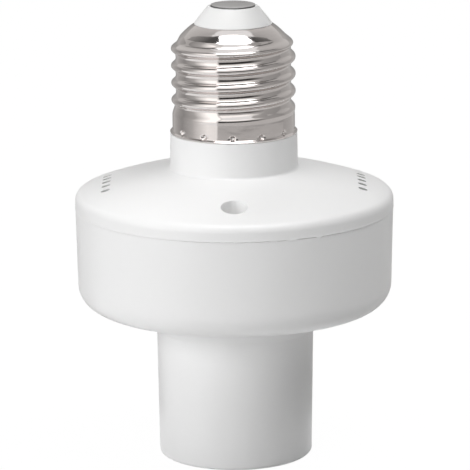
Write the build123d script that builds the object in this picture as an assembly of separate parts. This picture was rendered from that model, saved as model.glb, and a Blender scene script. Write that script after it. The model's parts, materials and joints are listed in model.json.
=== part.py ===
from build123d import *
import math
import os

# A plug-in smart lamp socket: a screw cap on top, a round electronics case, a lamp holder below.
# Millimetres. The origin is the centre of the barrel's lower rim, +Z runs up to the screw cap,
# and the front, with the push button, faces -Y.

# The lamp thread, which the screw cap and the holder's sleeve share
THREAD_CREST_R = 13.03
THREAD_DEPTH = 0.97
THREAD_PITCH = 3.629
THREAD_CLEARANCE = 0.28
THREAD_STEPS = 10

# Moulded lower housing: the lamp holder's barrel and the round tub above it
BARREL_WALL = 1.71
BARREL_DRAFT_DEG = 0.8
BARREL_ROUND = 0.9
BARREL_HEIGHT = 25.7
MOUTH_STEP = 0.5
MOUTH_DEPTH = 3.6
MOUTH_ROUND = 0.5
ROOT_RISE = 6.7
ROOT_FLARE = 1.6
ROOT_ROUND = 0.6
TUB_R = 33.5
TUB_DRAFT_DEG = 1.25
TUB_HEIGHT = 21.1
TUB_ROUND = 4.9
WALL = 1.9
INNER_ROUND = 3.0
WEB_THICKNESS = 2.4
WEB_BELOW_FLOOR = 3.8

# Seam between the two mouldings: a rebate, a tongue and a snap bead
SEAM_EDGE = 0.12
REBATE_DEPTH = 2.9
REBATE_STEP = 0.35
TONGUE_WALL = 1.25
TONGUE_CLEARANCE = 0.08
TONGUE_END_CLEARANCE = 0.25
BEAD_HEIGHT = 0.25
BEAD_WIDTH = 0.8

# Moulded upper cover: low dome, neck and the plug inside the screw cap
COVER_PROUD = 0.04
COVER_SIDE = 1.7
COVER_ROUND = 1.93
DOME_EDGE_DEG = 20.0
DOME_RISE = 5.0
DOME_WALL = 1.9
NECK_STEP = 0.46
NECK_TAPER = 0.15
NECK_HEIGHT = 7.5
NECK_FILLET = 0.5
NECK_WALL = 2.1
PLUG_WALL = 1.5
PLUG_CLEARANCE = 0.07

# Vent slots, two straight rows
VENT_COUNT = 5
VENT_PITCH = 3.5
VENT_INSET = 6.6
VENT_LENGTH = 2.2
VENT_WIDTH = 1.35

# Screw cap, a rolled metal sheet
CAP_SHEET = 0.35
CAP_BAND_STEP = 0.18
CAP_BAND_HEIGHT = 4.05
CAP_RIM_PROUD = 0.06
CAP_RIM_EDGE = 0.4
CAP_RIM_RISE = 1.0
CAP_THREAD_HEIGHT = 14.65
CAP_SHOULDER_HEIGHT = 4.35
CAP_SHOULDER_BULGE = 1.2
CAP_MOUTH_R = 8.1
CAP_CREST_RISE = 16.0

# Staking dents that hold the cap on the plug
DENT_COUNT = 13
DENT_R = 0.55
DENT_DEPTH = 0.33
DENT_RISE = 1.1
DENT_TURN_DEG = -91.0
DENT_CLEARANCE = 0.2

# Insulating button and nail contact at the tip of the cap
INSULATOR_SEAT = 0.25
INSULATOR_FLANGE = 1.6
INSULATOR_CONE = 3.85
INSULATOR_LIP = 0.5
INSULATOR_EDGE = 0.35
INSULATOR_CLEARANCE = 0.1
NAIL_HEAD_R = 4.6
NAIL_HEAD = 0.9
NAIL_DOME = 0.25
NAIL_R = 1.5
NAIL_TAIL = 1.2
NAIL_CLEARANCE = 0.05

# Recessed push button in its guide tube
BUTTON_INSET = 7.6
BUTTON_HOLE_R = 2.75
BUTTON_CLEARANCE = 0.1
BUTTON_RECESS = 2.8
BUTTON_FLANGE_STEP = 0.85
BUTTON_FLANGE = 1.0
BUTTON_STEM_R = 1.6
BUTTON_ROUND = 0.4
GUIDE_WALL = 1.4
GUIDE_LENGTH = 9.1
GUIDE_GAP = 0.1

# Lamp holder: threaded sleeve, insulating base and sprung centre contact
SLEEVE_SHEET = 0.35
SLEEVE_CLEARANCE = 0.33
SLEEVE_PLAIN_STEP = 0.07
SLEEVE_LIP = 0.8
SLEEVE_MOUTH_GAP = 0.6
SLEEVE_TOP_GAP = 0.65
TAB_WIDTH = 4.0
TAB_SHEET = 0.4
TAB_RISE = 3.0
TAB_INSET = 2.65
TAB_CLEARANCE = 0.3
BASE_THICKNESS = 5.0
BASE_CLEARANCE = 0.35
BASE_ROUND = 0.6
CHAMBER_R = 4.0
CHAMBER_ROOF = 0.8
CHAMBER_LAND = 1.9
PLUNGER_HEAD_CLEARANCE = 0.6
PLUNGER_HEAD = 1.8
PLUNGER_ROUND = 0.8
PLUNGER_STEM_R = 1.4
PLUNGER_CLEARANCE = 0.1
PLUNGER_STANDOFF = 0.4
PLUNGER_TAIL = 1.0
CLIP_REACH = 1.1
CLIP_THICKNESS = 0.6
CLIP_GAP = 0.5
SPRING_WIRE_R = 0.22
SPRING_TURNS = 4
SPRING_CLEARANCE = 0.02
PLATE_SHEET = 0.4
PLATE_CLEARANCE = 0.2
PLATE_TAB_WIDTH = 2.4

# Screws, one size for the holder and one for the board
HOLDER_SCREW_R = 1.2
HOLDER_SCREW_HEAD_R = 2.1
HOLDER_SCREW_HEAD = 1.4
BOARD_SCREW_R = 1.1
BOARD_SCREW_HEAD_R = 2.4
BOARD_SCREW_HEAD = 1.6
BOARD_SCREW_LENGTH = 4.6
SCREW_CLEARANCE = 0.05
SCREW_RECESS_CLEARANCE = 0.3
SCREW_SLOT_WIDTH = 0.6
SCREW_SLOT_DEPTH = 0.7

# Circuit board on its posts
BOARD_THICKNESS = 1.6
BOARD_CLEARANCE = 1.0
POST_HEIGHT = 4.1
POST_R = 3.2
POST_MARGIN = 0.7
POST_ANGLES = (60, 180, 300)
PILOT_FLOOR = 0.5

# Electronic parts: plan place on the board, or step from the push button, then sizes
CASE_ROUND = 0.5
RELAY_AT = (-10.2, 10.6)
RELAY_LENGTH = 19.0
RELAY_WIDTH = 15.2
RELAY_HEIGHT = 14.8
MAINS_CAPACITOR_AT = (10.8, 9.7)
MAINS_CAPACITOR_LENGTH = 12.5
MAINS_CAPACITOR_WIDTH = 6.0
MAINS_CAPACITOR_HEIGHT = 11.0
TRANSFORMER_AT = (18.8, -3.6)
TRANSFORMER_LENGTH = 11.0
TRANSFORMER_WIDTH = 9.6
TRANSFORMER_HEIGHT = 10.5
CORE_INSET = 1.4
LARGE_CAN_AT = (17.0, -14.2)
LARGE_CAN_R = 4.0
LARGE_CAN_HEIGHT = 11.5
SMALL_CAN_AT = (21.4, 6.0)
SMALL_CAN_R = 3.15
SMALL_CAN_HEIGHT = 7.5
CAN_GROOVE = 0.35
RECTIFIER_AT = (-10.6, -3.4)
RECTIFIER_LENGTH = 8.4
RECTIFIER_WIDTH = 6.3
RECTIFIER_HEIGHT = 3.2
FUSE_AT = (-18.2, -8.8)
FUSE_R = 1.9
FUSE_LENGTH = 9.0
LEAD_R = 0.4
LEAD_REACH = 1.8
LEAD_BEND = 1.0
VARISTOR_AT = (-13.4, -17.2)
VARISTOR_R = 4.8
VARISTOR_THICKNESS = 3.6
VARISTOR_LEAD = 1.2
REGULATOR_AT = (9.2, -4.6)
REGULATOR_R = 2.3
REGULATOR_HEIGHT = 4.6
RADIO_GAP = 2.62
RADIO_LENGTH = 14.0
RADIO_WIDTH = 10.4
RADIO_BOARD = 1.0
RADIO_HEADER = 1.5
RADIO_HEADER_WIDTH = 2.2
RADIO_CHIP = 7.0
RADIO_CHIP_HEIGHT = 1.8
ANTENNA_AT = (4.6, 18.4)
ANTENNA_R = 2.3
ANTENNA_WIRE_R = 0.35
ANTENNA_PITCH = 1.3
ANTENNA_TURNS = 7
LED_STEP = (6.6, 1.82)
LED_R = 1.5
LED_HEIGHT = 4.2
LED_FLANGE = 0.4
SWITCH_SIDE = 6.0
SWITCH_HEIGHT = 3.6
SWITCH_ROUND = 0.5
SWITCH_TIP_R = 1.75
SWITCH_WELL = 1.0
SWITCH_WELL_GAP = 0.4
SWITCH_CLEARANCE = 0.05

# Hook-up wires and the places they bend at
WIRE_R = 0.8
WIRE_GAP = 0.05
WIRE_END_GAP = 0.4
WIRE_NOTCH_WIDTH = 2.4
WIRE_NOTCH_HEIGHT = 7.0
ARC_SHARE = 0.45
LIVE_PAD = (3.0, -5.0)
LIVE_BEND_RISE = 2.0
LIVE_BEND_DROP = 5.0
NEUTRAL_PAD = (-3.0, 0.4)
NEUTRAL_END_DROP = 3.0
NEUTRAL_BEND_DROP = 6.0
NEUTRAL_BEND_IN = 6.0
NEUTRAL_MIDDLE = (-1.0, 4.2)
NEUTRAL_MIDDLE_RISE = 3.0
NEUTRAL_LOW_DROP = 8.0

# A cut runs this far past the face it opens
PAST = 1.0

# Heights of the housing, from the rim up
FLOOR_Z = BARREL_HEIGHT + ROOT_RISE
FLOOR_TOP_Z = FLOOR_Z + WALL
SEAM_Z = FLOOR_Z + TUB_HEIGHT
REBATE_Z = SEAM_Z - REBATE_DEPTH
BEAD_Z = SEAM_Z - REBATE_DEPTH / 2
WEB_TOP_Z = FLOOR_Z - WEB_BELOW_FLOOR
WEB_LOW_Z = WEB_TOP_Z - WEB_THICKNESS
BOARD_LOW_Z = FLOOR_TOP_Z + POST_HEIGHT
BOARD_TOP_Z = BOARD_LOW_Z + BOARD_THICKNESS
SIDE_TOP_Z = SEAM_Z + COVER_SIDE

# Radii of the thread, the sleeve and the barrel around it
CAP_ROOT_R = THREAD_CREST_R - THREAD_DEPTH
CAP_BAND_R = THREAD_CREST_R - CAP_BAND_STEP
SLEEVE_ROOT_R = THREAD_CREST_R + THREAD_CLEARANCE
SLEEVE_CREST_R = CAP_ROOT_R + THREAD_CLEARANCE
SLEEVE_PLAIN_R = SLEEVE_ROOT_R - SLEEVE_PLAIN_STEP
HOLDER_BORE_R = SLEEVE_ROOT_R + SLEEVE_SHEET + SLEEVE_CLEARANCE
MOUTH_R = HOLDER_BORE_R + MOUTH_STEP
BARREL_R = MOUTH_R + BARREL_WALL
BARREL_ROOT_R = BARREL_R + BARREL_HEIGHT * math.tan(math.radians(BARREL_DRAFT_DEG))
ROOT_TOP_R = BARREL_ROOT_R + ROOT_FLARE

# Radii of the tub, the seam and the board
TUB_LOW_R = TUB_R - TUB_HEIGHT * math.tan(math.radians(TUB_DRAFT_DEG))
TUB_IN_R = TUB_R - WALL - REBATE_STEP
TUB_IN_LOW_R = TUB_LOW_R - WALL - REBATE_STEP
REBATE_R = TUB_R - WALL
TONGUE_R = REBATE_R - TONGUE_CLEARANCE
TONGUE_IN_R = TONGUE_R - TONGUE_WALL
BOARD_R = TUB_IN_LOW_R - BOARD_CLEARANCE
POST_CIRCLE_R = TUB_IN_LOW_R - INNER_ROUND - POST_R - POST_MARGIN

# The dome is one arc that leaves the cover's edge round at DOME_EDGE_DEG and ends at the neck
COVER_R = TUB_R + COVER_PROUD
NECK_TOP_R = CAP_BAND_R + NECK_STEP
NECK_BASE_R = NECK_TOP_R + NECK_TAPER
NECK_BORE_R = NECK_TOP_R - NECK_WALL
EDGE_TURN = math.radians(90 - DOME_EDGE_DEG)
EDGE_R = COVER_R - COVER_ROUND * (1 - math.cos(EDGE_TURN))
EDGE_Z = SIDE_TOP_Z + COVER_ROUND * math.sin(EDGE_TURN)
DOME_TOP_Z = EDGE_Z + DOME_RISE
DOME_SPAN = EDGE_R - NECK_BASE_R
DOME_TURN = math.radians(DOME_EDGE_DEG) - math.atan2(DOME_RISE, DOME_SPAN)
DOME_R = math.hypot(DOME_RISE, DOME_SPAN) / (2 * math.sin(DOME_TURN))
DOME_CENTRE_R = EDGE_R - DOME_R * math.cos(EDGE_TURN)
DOME_CENTRE_Z = EDGE_Z - DOME_R * math.sin(EDGE_TURN)

# Screw cap
NECK_TOP_Z = DOME_TOP_Z + NECK_HEIGHT
CAP_BAND_TOP_Z = NECK_TOP_Z + CAP_BAND_HEIGHT
CAP_THREAD_TOP_Z = CAP_BAND_TOP_Z + CAP_THREAD_HEIGHT
CAP_TOP_Z = CAP_THREAD_TOP_Z + CAP_SHOULDER_HEIGHT
CAP_RIM_R = NECK_TOP_R + CAP_RIM_PROUD
DENT_Z = NECK_TOP_Z + DENT_RISE
PLUG_TOP_Z = CAP_THREAD_TOP_Z + INSULATOR_SEAT
PLUG_BAND_R = CAP_BAND_R - CAP_SHEET - PLUG_CLEARANCE
PLUG_R = CAP_ROOT_R - CAP_SHEET - 2 * PLUG_CLEARANCE
PLUG_BORE_R = PLUG_R - PLUG_WALL
NAIL_TOP_Z = CAP_TOP_Z + INSULATOR_CONE
NAIL_FOOT_Z = PLUG_TOP_Z - NAIL_TAIL

# Lamp holder
SLEEVE_LOW_Z = MOUTH_DEPTH + SLEEVE_MOUTH_GAP
SLEEVE_THREAD_Z = SLEEVE_LOW_Z + SLEEVE_LIP
BASE_TOP_Z = WEB_LOW_Z - SLEEVE_SHEET
BASE_LOW_Z = BASE_TOP_Z - BASE_THICKNESS
BASE_R = SLEEVE_PLAIN_R - BASE_CLEARANCE
SLEEVE_THREAD_TOP_Z = BASE_LOW_Z - SLEEVE_TOP_GAP
SLEEVE_FLANGE_IN_R = CHAMBER_R + CHAMBER_LAND
SLEEVE_TAB_Y = SLEEVE_PLAIN_R - TAB_INSET
TAB_TOP_Z = WEB_TOP_Z + TAB_RISE
HOLDER_SCREW_X = (SLEEVE_FLANGE_IN_R + SLEEVE_PLAIN_R) / 2
HOLDER_SCREW_SEAT_Z = BASE_LOW_Z + HOLDER_SCREW_HEAD + SCREW_RECESS_CLEARANCE
CHAMBER_TOP_Z = BASE_TOP_Z - CHAMBER_ROOF
PLATE_LOW_Z = CHAMBER_TOP_Z - PLATE_SHEET
HEAD_TOP_Z = BASE_LOW_Z - PLUNGER_STANDOFF
HEAD_LOW_Z = HEAD_TOP_Z - PLUNGER_HEAD
STEM_TOP_Z = WEB_TOP_Z + CLIP_THICKNESS + PLUNGER_TAIL
PLUNGER_HEAD_R = CHAMBER_R - PLUNGER_HEAD_CLEARANCE
CLIP_R = PLUNGER_STEM_R + CLIP_REACH
SPRING_R = (PLUNGER_STEM_R + PLUNGER_HEAD_R) / 2
PLATE_TAB_Y = -(CLIP_R + CLIP_GAP + PLATE_SHEET / 2)


def dome_z(radius, drop=0.0):
    """Height of the dome at a radius, or of the face that lies a wall's drop under it."""
    return DOME_CENTRE_Z + math.sqrt((DOME_R - drop) ** 2 - (radius - DOME_CENTRE_R) ** 2)


# Push button and its switch
BUTTON_AT = (0, BUTTON_INSET - TUB_R)
BUTTON_MOUTH_Z = dome_z(TUB_R - BUTTON_INSET)
BUTTON_TOP_Z = BUTTON_MOUTH_Z - BUTTON_RECESS
GUIDE_LOW_Z = BUTTON_MOUTH_Z - GUIDE_LENGTH
FLANGE_TOP_Z = GUIDE_LOW_Z - GUIDE_GAP
FLANGE_LOW_Z = FLANGE_TOP_Z - BUTTON_FLANGE
SWITCH_TOP_Z = BOARD_TOP_Z + SWITCH_HEIGHT
SWITCH_WELL_Z = SWITCH_TOP_Z - SWITCH_WELL
SWITCH_TIP_Z = (SWITCH_TOP_Z + FLANGE_LOW_Z) / 2
RADIO_AT = (0, BUTTON_AT[1] + SWITCH_SIDE / 2 + RADIO_GAP + RADIO_WIDTH / 2)
LED_AT = (BUTTON_AT[0] + LED_STEP[0], BUTTON_AT[1] + LED_STEP[1])

UPRIGHT = (Align.CENTER, Align.CENTER, Align.MIN)


def rod(radius, low, high, at=(0, 0)):
    """An upright cylinder between two heights."""
    return Pos(at[0], at[1], low) * Cylinder(radius, high - low, align=UPRIGHT)


def block(length, width, low, high, at=(0, 0)):
    """An upright box between two heights."""
    return Pos(at[0], at[1], low) * Box(length, width, high - low, align=UPRIGHT)


def cased(length, width, height, at):
    """A component case that stands on the board, its upright and top edges rounded."""
    case = block(length, width, BOARD_TOP_Z, BOARD_TOP_Z + height, at)
    edges = case.edges().filter_by(Axis.Z) + case.faces().sort_by(Axis.Z)[-1].edges()
    return fillet(edges, CASE_ROUND)


def turned(*corners):
    """A solid of revolution about Z. A corner is a radius, a height and, where it has one, a round."""
    points = [corner[:2] for corner in corners]
    rounds = [corner[2] if len(corner) > 2 else 0 for corner in corners]
    outline = FilletPolyline(*points, radius=rounds, close=True)
    return revolve(Plane.XZ * make_face(outline.edges()), Axis.Z)


def smooth(share):
    """A soft step from 0 to 1."""
    share = min(max(share, 0.0), 1.0)
    return share * share * (3 - 2 * share)


def levels(low, high):
    """Heights of the circles that a thread is made through, evenly spaced."""
    count = max(2, round((high - low) / THREAD_PITCH * THREAD_STEPS))
    return [low + (high - low) * step / count for step in range(count + 1)]


def rolled_sheet(circles, sheet):
    """A rolled sheet through level circles, each given as a radius, a throw, a turn and a height.

    A round thread cut level is a circle whose centre goes round the axis once a pitch, so a stack
    of such circles makes the thread, its run-out and its plain ends in one skin.
    """
    skins = []
    for inset in (0.0, sheet):
        stack = []
        for radius, throw, turn, height in circles:
            centre = Pos(throw * math.cos(turn), throw * math.sin(turn), height)
            stack.append(centre * Circle(radius - inset))
        skins.append(loft(stack))
    walls = [face for skin in skins for face in skin.faces() if face.geom_type != GeomType.PLANE]
    ends = []
    for place in (0, -1):
        large, small = [skin.faces().sort_by(Axis.Z)[place] for skin in skins]
        ends.append(Face(large.outer_wire(), [small.outer_wire()]))
    return Solid(Shell(walls + ends))


def coil(radius, wire_r, low, high, turns, at=(0, 0)):
    """A round wire coiled about an upright axis between two heights."""
    rise = high - low - 2 * wire_r
    path = Pos(at[0], at[1], low + wire_r) * Helix(rise / turns, rise, radius)
    start = Plane(path @ 0, z_dir=path % 0)
    return sweep(start * Circle(wire_r), path=path, is_frenet=True)


def screw(radius, head_radius, head, length):
    """A slotted pan-head screw, its seat at the origin and its shank pointing down."""
    body = rod(head_radius, 0, head) + rod(radius, -length, 0)
    body = fillet(body.faces().sort_by(Axis.Z)[-1].edges(), head / 3)
    return body - block(2 * head_radius + PAST, SCREW_SLOT_WIDTH, head - SCREW_SLOT_DEPTH, head + PAST)


def wire(name, points):
    """A hook-up wire: straight runs joined by arcs as large as the runs allow."""
    spots = [Vector(*point) for point in points]
    radii = []
    for before, here, after in zip(spots, spots[1:], spots[2:]):
        half_turn = math.radians((here - before).get_angle(after - here)) / 2
        shorter = min((here - before).length, (after - here).length)
        radii.append(ARC_SHARE * shorter / math.tan(half_turn))
    print(name, "bend radii", [round(radius, 1) for radius in radii])
    path = FilletPolyline(*spots, radius=radii) if radii else Line(*spots)
    start = Plane(path @ 0, z_dir=path % 0)
    return sweep(start * Circle(WIRE_R), path=path)


def post_places():
    """Plan places of the board's posts."""
    places = []
    for angle in POST_ANGLES:
        turn = math.radians(angle)
        places.append((POST_CIRCLE_R * math.cos(turn), POST_CIRCLE_R * math.sin(turn)))
    return places


def screw_places():
    """Plan places of the lamp holder's screws."""
    return [(-HOLDER_SCREW_X, 0), (HOLDER_SCREW_X, 0)]


def tab_slot(width, sheet, low, high, y):
    """The space that a solder tab passes through."""
    return block(width + 2 * TAB_CLEARANCE, sheet + 2 * TAB_CLEARANCE, low, high, (0, y))


def lower_housing():
    """Barrel, conical root and tub as one moulding, with the web that carries the lamp holder."""
    body = turned(
        (MOUTH_R, 0, MOUTH_ROUND),
        (BARREL_R, 0, BARREL_ROUND),
        (BARREL_ROOT_R, BARREL_HEIGHT),
        (ROOT_TOP_R, FLOOR_Z, ROOT_ROUND),
        (TUB_LOW_R, FLOOR_Z, TUB_ROUND),
        (TUB_R, SEAM_Z - SEAM_EDGE),
        (TUB_R - SEAM_EDGE, SEAM_Z),
        (REBATE_R, SEAM_Z),
        (REBATE_R, BEAD_Z + BEAD_WIDTH / 2),
        (REBATE_R + BEAD_HEIGHT, BEAD_Z),
        (REBATE_R, BEAD_Z - BEAD_WIDTH / 2),
        (REBATE_R, REBATE_Z),
        (TUB_IN_R, REBATE_Z),
        (TUB_IN_LOW_R, FLOOR_TOP_Z, INNER_ROUND),
        (HOLDER_BORE_R, FLOOR_TOP_Z, ROOT_ROUND),
        (HOLDER_BORE_R, WEB_TOP_Z),
        (0, WEB_TOP_Z),
        (0, WEB_LOW_Z),
        (HOLDER_BORE_R, WEB_LOW_Z),
        (HOLDER_BORE_R, MOUTH_DEPTH),
        (MOUTH_R, MOUTH_DEPTH),
    )
    low = WEB_LOW_Z - PAST
    high = WEB_TOP_Z + PAST
    body -= rod(PLUNGER_STEM_R + PLUNGER_CLEARANCE, low, high)
    body -= tab_slot(TAB_WIDTH, TAB_SHEET, low, high, SLEEVE_TAB_Y)
    body -= tab_slot(PLATE_TAB_WIDTH, PLATE_SHEET, low, high, PLATE_TAB_Y)
    for place in screw_places():
        body -= rod(HOLDER_SCREW_R + SCREW_CLEARANCE, low, high, place)
    for place in post_places():
        body += rod(POST_R, FLOOR_Z + WALL / 2, BOARD_LOW_Z, place)
        body -= rod(BOARD_SCREW_R + SCREW_CLEARANCE, FLOOR_TOP_Z - PILOT_FLOOR, BOARD_LOW_Z + PAST, place)
    return body


def vent_slots():
    """The upright cutters of the two rows of vents."""
    slot = SlotOverall(VENT_LENGTH, VENT_WIDTH)
    cutters = []
    for side in (-1, 1):
        for place in range(VENT_COUNT):
            x = side * (TUB_R - VENT_INSET)
            y = (place - (VENT_COUNT - 1) / 2) * VENT_PITCH
            cutters.append(extrude(Pos(x, y, SEAM_Z) * slot, DOME_TOP_Z - SEAM_Z))
    return cutters


def upper_cover():
    """Domed cover, neck and cap plug as one moulding, with its vents and the button's guide tube."""
    bump_r = DENT_R + CAP_SHEET
    groove_half = math.sqrt(bump_r**2 - (bump_r - DENT_DEPTH) ** 2) + DENT_CLEARANCE
    groove_r = CAP_BAND_R - CAP_SHEET - DENT_DEPTH - DENT_CLEARANCE
    side_top = (COVER_R, SIDE_TOP_Z)
    edge = (EDGE_R, EDGE_Z)
    dome_top = (NECK_BASE_R, DOME_TOP_Z)
    middle_r = (TONGUE_IN_R + NECK_BORE_R) / 2
    inner_top = (NECK_BORE_R, dome_z(NECK_BORE_R, DOME_WALL))
    inner_middle = (middle_r, dome_z(middle_r, DOME_WALL))
    inner_edge = (TONGUE_IN_R, dome_z(TONGUE_IN_R, DOME_WALL))
    tongue_low = REBATE_Z + TONGUE_END_CLEARANCE
    bore_step_z = NECK_TOP_Z - NECK_WALL / 2
    outline = Curve() + [
        Polyline((COVER_R - SEAM_EDGE, SEAM_Z), (COVER_R, SEAM_Z + SEAM_EDGE), side_top),
        TangentArc(side_top, edge, tangent=(0, 1)),
        TangentArc(edge, dome_top, tangent=(-math.sin(EDGE_TURN), math.cos(EDGE_TURN))),
        Polyline(
            dome_top,
            (NECK_TOP_R, NECK_TOP_Z),
            (PLUG_BAND_R, NECK_TOP_Z),
            (PLUG_BAND_R, DENT_Z - groove_half),
            (groove_r, DENT_Z - groove_half),
            (groove_r, DENT_Z + groove_half),
            (PLUG_BAND_R, DENT_Z + groove_half),
            (PLUG_BAND_R, CAP_BAND_TOP_Z),
            (PLUG_R, CAP_BAND_TOP_Z),
            (PLUG_R, PLUG_TOP_Z),
            (PLUG_BORE_R, PLUG_TOP_Z),
            (PLUG_BORE_R, bore_step_z),
            (NECK_BORE_R, bore_step_z),
            inner_top,
        ),
        ThreePointArc(inner_top, inner_middle, inner_edge),
        Polyline(
            inner_edge,
            (TONGUE_IN_R, tongue_low),
            (TONGUE_R, tongue_low),
            (TONGUE_R, BEAD_Z - BEAD_WIDTH / 2),
            (TONGUE_R + BEAD_HEIGHT, BEAD_Z),
            (TONGUE_R, BEAD_Z + BEAD_WIDTH / 2),
            (TONGUE_R, SEAM_Z),
            (COVER_R - SEAM_EDGE, SEAM_Z),
        ),
    ]
    body = revolve(Plane.XZ * make_face(outline.edges()), Axis.Z)
    circles = body.edges().filter_by(GeomType.CIRCLE)
    neck_foot = circles.sort_by(lambda circle: abs(circle.arc_center.Z - DOME_TOP_Z))[0]
    body = fillet(neck_foot, NECK_FILLET)
    body += rod(BUTTON_HOLE_R + GUIDE_WALL, GUIDE_LOW_Z, BUTTON_MOUTH_Z - DOME_WALL, BUTTON_AT)
    body -= rod(BUTTON_HOLE_R, GUIDE_LOW_Z - PAST, DOME_TOP_Z, BUTTON_AT)
    body -= vent_slots()
    notch_low = PLUG_TOP_Z - WIRE_NOTCH_HEIGHT
    notch_at = (0, PLUG_R - PLUG_WALL / 2)
    return body - block(WIRE_NOTCH_WIDTH, 2 * PLUG_WALL, notch_low, PLUG_TOP_Z + PAST, notch_at)


def cap_shell():
    """Screw cap: flared rim, plain band with staking dents, rolled thread and rounded shoulder."""
    mean = THREAD_CREST_R - THREAD_DEPTH / 2
    crest_z = NECK_TOP_Z + CAP_CREST_RISE
    circles = []
    for z in levels(CAP_BAND_TOP_Z, CAP_TOP_Z):
        start = smooth((z - CAP_BAND_TOP_Z) / (THREAD_PITCH / 2))
        over = max(0.0, (z - CAP_THREAD_TOP_Z) / CAP_SHOULDER_HEIGHT)
        radius = CAP_BAND_R + (mean - CAP_BAND_R) * start - (mean - CAP_MOUTH_R) * over**CAP_SHOULDER_BULGE
        throw = THREAD_DEPTH / 2 * start * (1 - smooth(2 * over))
        circles.append((radius, throw, math.tau * (z - crest_z) / THREAD_PITCH, z))
    band_in_r = CAP_BAND_R - CAP_SHEET
    band = turned(
        (band_in_r, NECK_TOP_Z),
        (CAP_RIM_R, NECK_TOP_Z, CAP_SHEET / 3),
        (CAP_RIM_R, NECK_TOP_Z + CAP_RIM_EDGE, CAP_SHEET / 3),
        (CAP_BAND_R, NECK_TOP_Z + CAP_RIM_RISE, CAP_SHEET),
        (CAP_BAND_R, CAP_BAND_TOP_Z),
        (band_in_r, CAP_BAND_TOP_Z),
    )
    inside = rod(CAP_BAND_R - CAP_SHEET / 2, NECK_TOP_Z, CAP_BAND_TOP_Z)
    dents = []
    for number in range(DENT_COUNT):
        turn = Rot(0, 0, DENT_TURN_DEG + 360 / DENT_COUNT * number)
        place = turn * Pos(CAP_BAND_R + DENT_R - DENT_DEPTH, 0, DENT_Z)
        dents.append(place * Sphere(DENT_R))
        band += place * Sphere(DENT_R + CAP_SHEET) & inside
    return band - dents + rolled_sheet(circles, CAP_SHEET)


def cap_insulator():
    """Insulating button in the mouth of the cap, seated on the plug."""
    throat_r = CAP_MOUTH_R - CAP_SHEET - INSULATOR_CLEARANCE
    flange_z = PLUG_TOP_Z + INSULATOR_FLANGE
    hole_r = NAIL_R + NAIL_CLEARANCE
    seat_r = NAIL_HEAD_R + NAIL_CLEARANCE
    seat_z = NAIL_TOP_Z - NAIL_HEAD
    return turned(
        (hole_r, PLUG_TOP_Z),
        (PLUG_BORE_R + PLUG_WALL / 2, PLUG_TOP_Z),
        (PLUG_BORE_R, flange_z),
        (throat_r, flange_z),
        (throat_r, CAP_TOP_Z),
        (CAP_MOUTH_R, CAP_TOP_Z),
        (seat_r + INSULATOR_LIP, NAIL_TOP_Z, INSULATOR_EDGE),
        (seat_r, NAIL_TOP_Z),
        (seat_r, seat_z),
        (hole_r, seat_z),
    )


def cap_contact():
    """Nail contact: a slightly domed head and a pin that grips the live wire."""
    low = NAIL_TOP_Z - NAIL_HEAD
    crown_r = (NAIL_HEAD_R**2 + NAIL_DOME**2) / (2 * NAIL_DOME)
    crown = Pos(0, 0, NAIL_TOP_Z + NAIL_DOME - crown_r) * Sphere(crown_r)
    head = rod(NAIL_HEAD_R, low, NAIL_TOP_Z + 2 * NAIL_DOME) & crown
    return head + rod(NAIL_R, NAIL_FOOT_Z, low)


def pairing_button():
    """Push button: a round key, the flange that keeps it in and the stem that meets the switch."""
    key = rod(BUTTON_HOLE_R - BUTTON_CLEARANCE, FLANGE_LOW_Z, BUTTON_TOP_Z, BUTTON_AT)
    key = fillet(key.faces().sort_by(Axis.Z)[-1].edges(), BUTTON_ROUND)
    key += rod(BUTTON_HOLE_R + BUTTON_FLANGE_STEP, FLANGE_LOW_Z, FLANGE_TOP_Z, BUTTON_AT)
    return key + rod(BUTTON_STEM_R, SWITCH_TIP_Z, FLANGE_LOW_Z, BUTTON_AT)


def lampholder_shell():
    """Threaded sleeve of the lamp holder, with a flange under the web and a solder tab through it."""
    mean = (SLEEVE_CREST_R + SLEEVE_ROOT_R) / 2
    circles = []
    for z in levels(SLEEVE_THREAD_Z, SLEEVE_THREAD_TOP_Z):
        rise = smooth((z - SLEEVE_THREAD_Z) / (THREAD_PITCH / 2))
        fall = smooth((SLEEVE_THREAD_TOP_Z - z) / (THREAD_PITCH / 2))
        radius = SLEEVE_SHEET + SLEEVE_PLAIN_R + (mean - SLEEVE_PLAIN_R) * rise * fall
        circles.append((radius, THREAD_DEPTH / 2 * rise * fall, math.tau * z / THREAD_PITCH, z))
    outer_r = SLEEVE_PLAIN_R + SLEEVE_SHEET
    body = rolled_sheet(circles, SLEEVE_SHEET)
    body += rod(outer_r, SLEEVE_LOW_Z, SLEEVE_THREAD_Z) - rod(SLEEVE_PLAIN_R, SLEEVE_LOW_Z, SLEEVE_THREAD_Z)
    body += turned(
        (SLEEVE_PLAIN_R, SLEEVE_THREAD_TOP_Z),
        (outer_r, SLEEVE_THREAD_TOP_Z),
        (outer_r, WEB_LOW_Z, SLEEVE_SHEET),
        (SLEEVE_FLANGE_IN_R, WEB_LOW_Z),
        (SLEEVE_FLANGE_IN_R, BASE_TOP_Z),
        (SLEEVE_PLAIN_R, BASE_TOP_Z),
    )
    body += block(TAB_WIDTH, TAB_SHEET, BASE_TOP_Z, TAB_TOP_Z, (0, SLEEVE_TAB_Y))
    for place in screw_places():
        body -= rod(HOLDER_SCREW_R + SCREW_RECESS_CLEARANCE, BASE_TOP_Z - PAST, WEB_LOW_Z + PAST, place)
    return body


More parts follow.
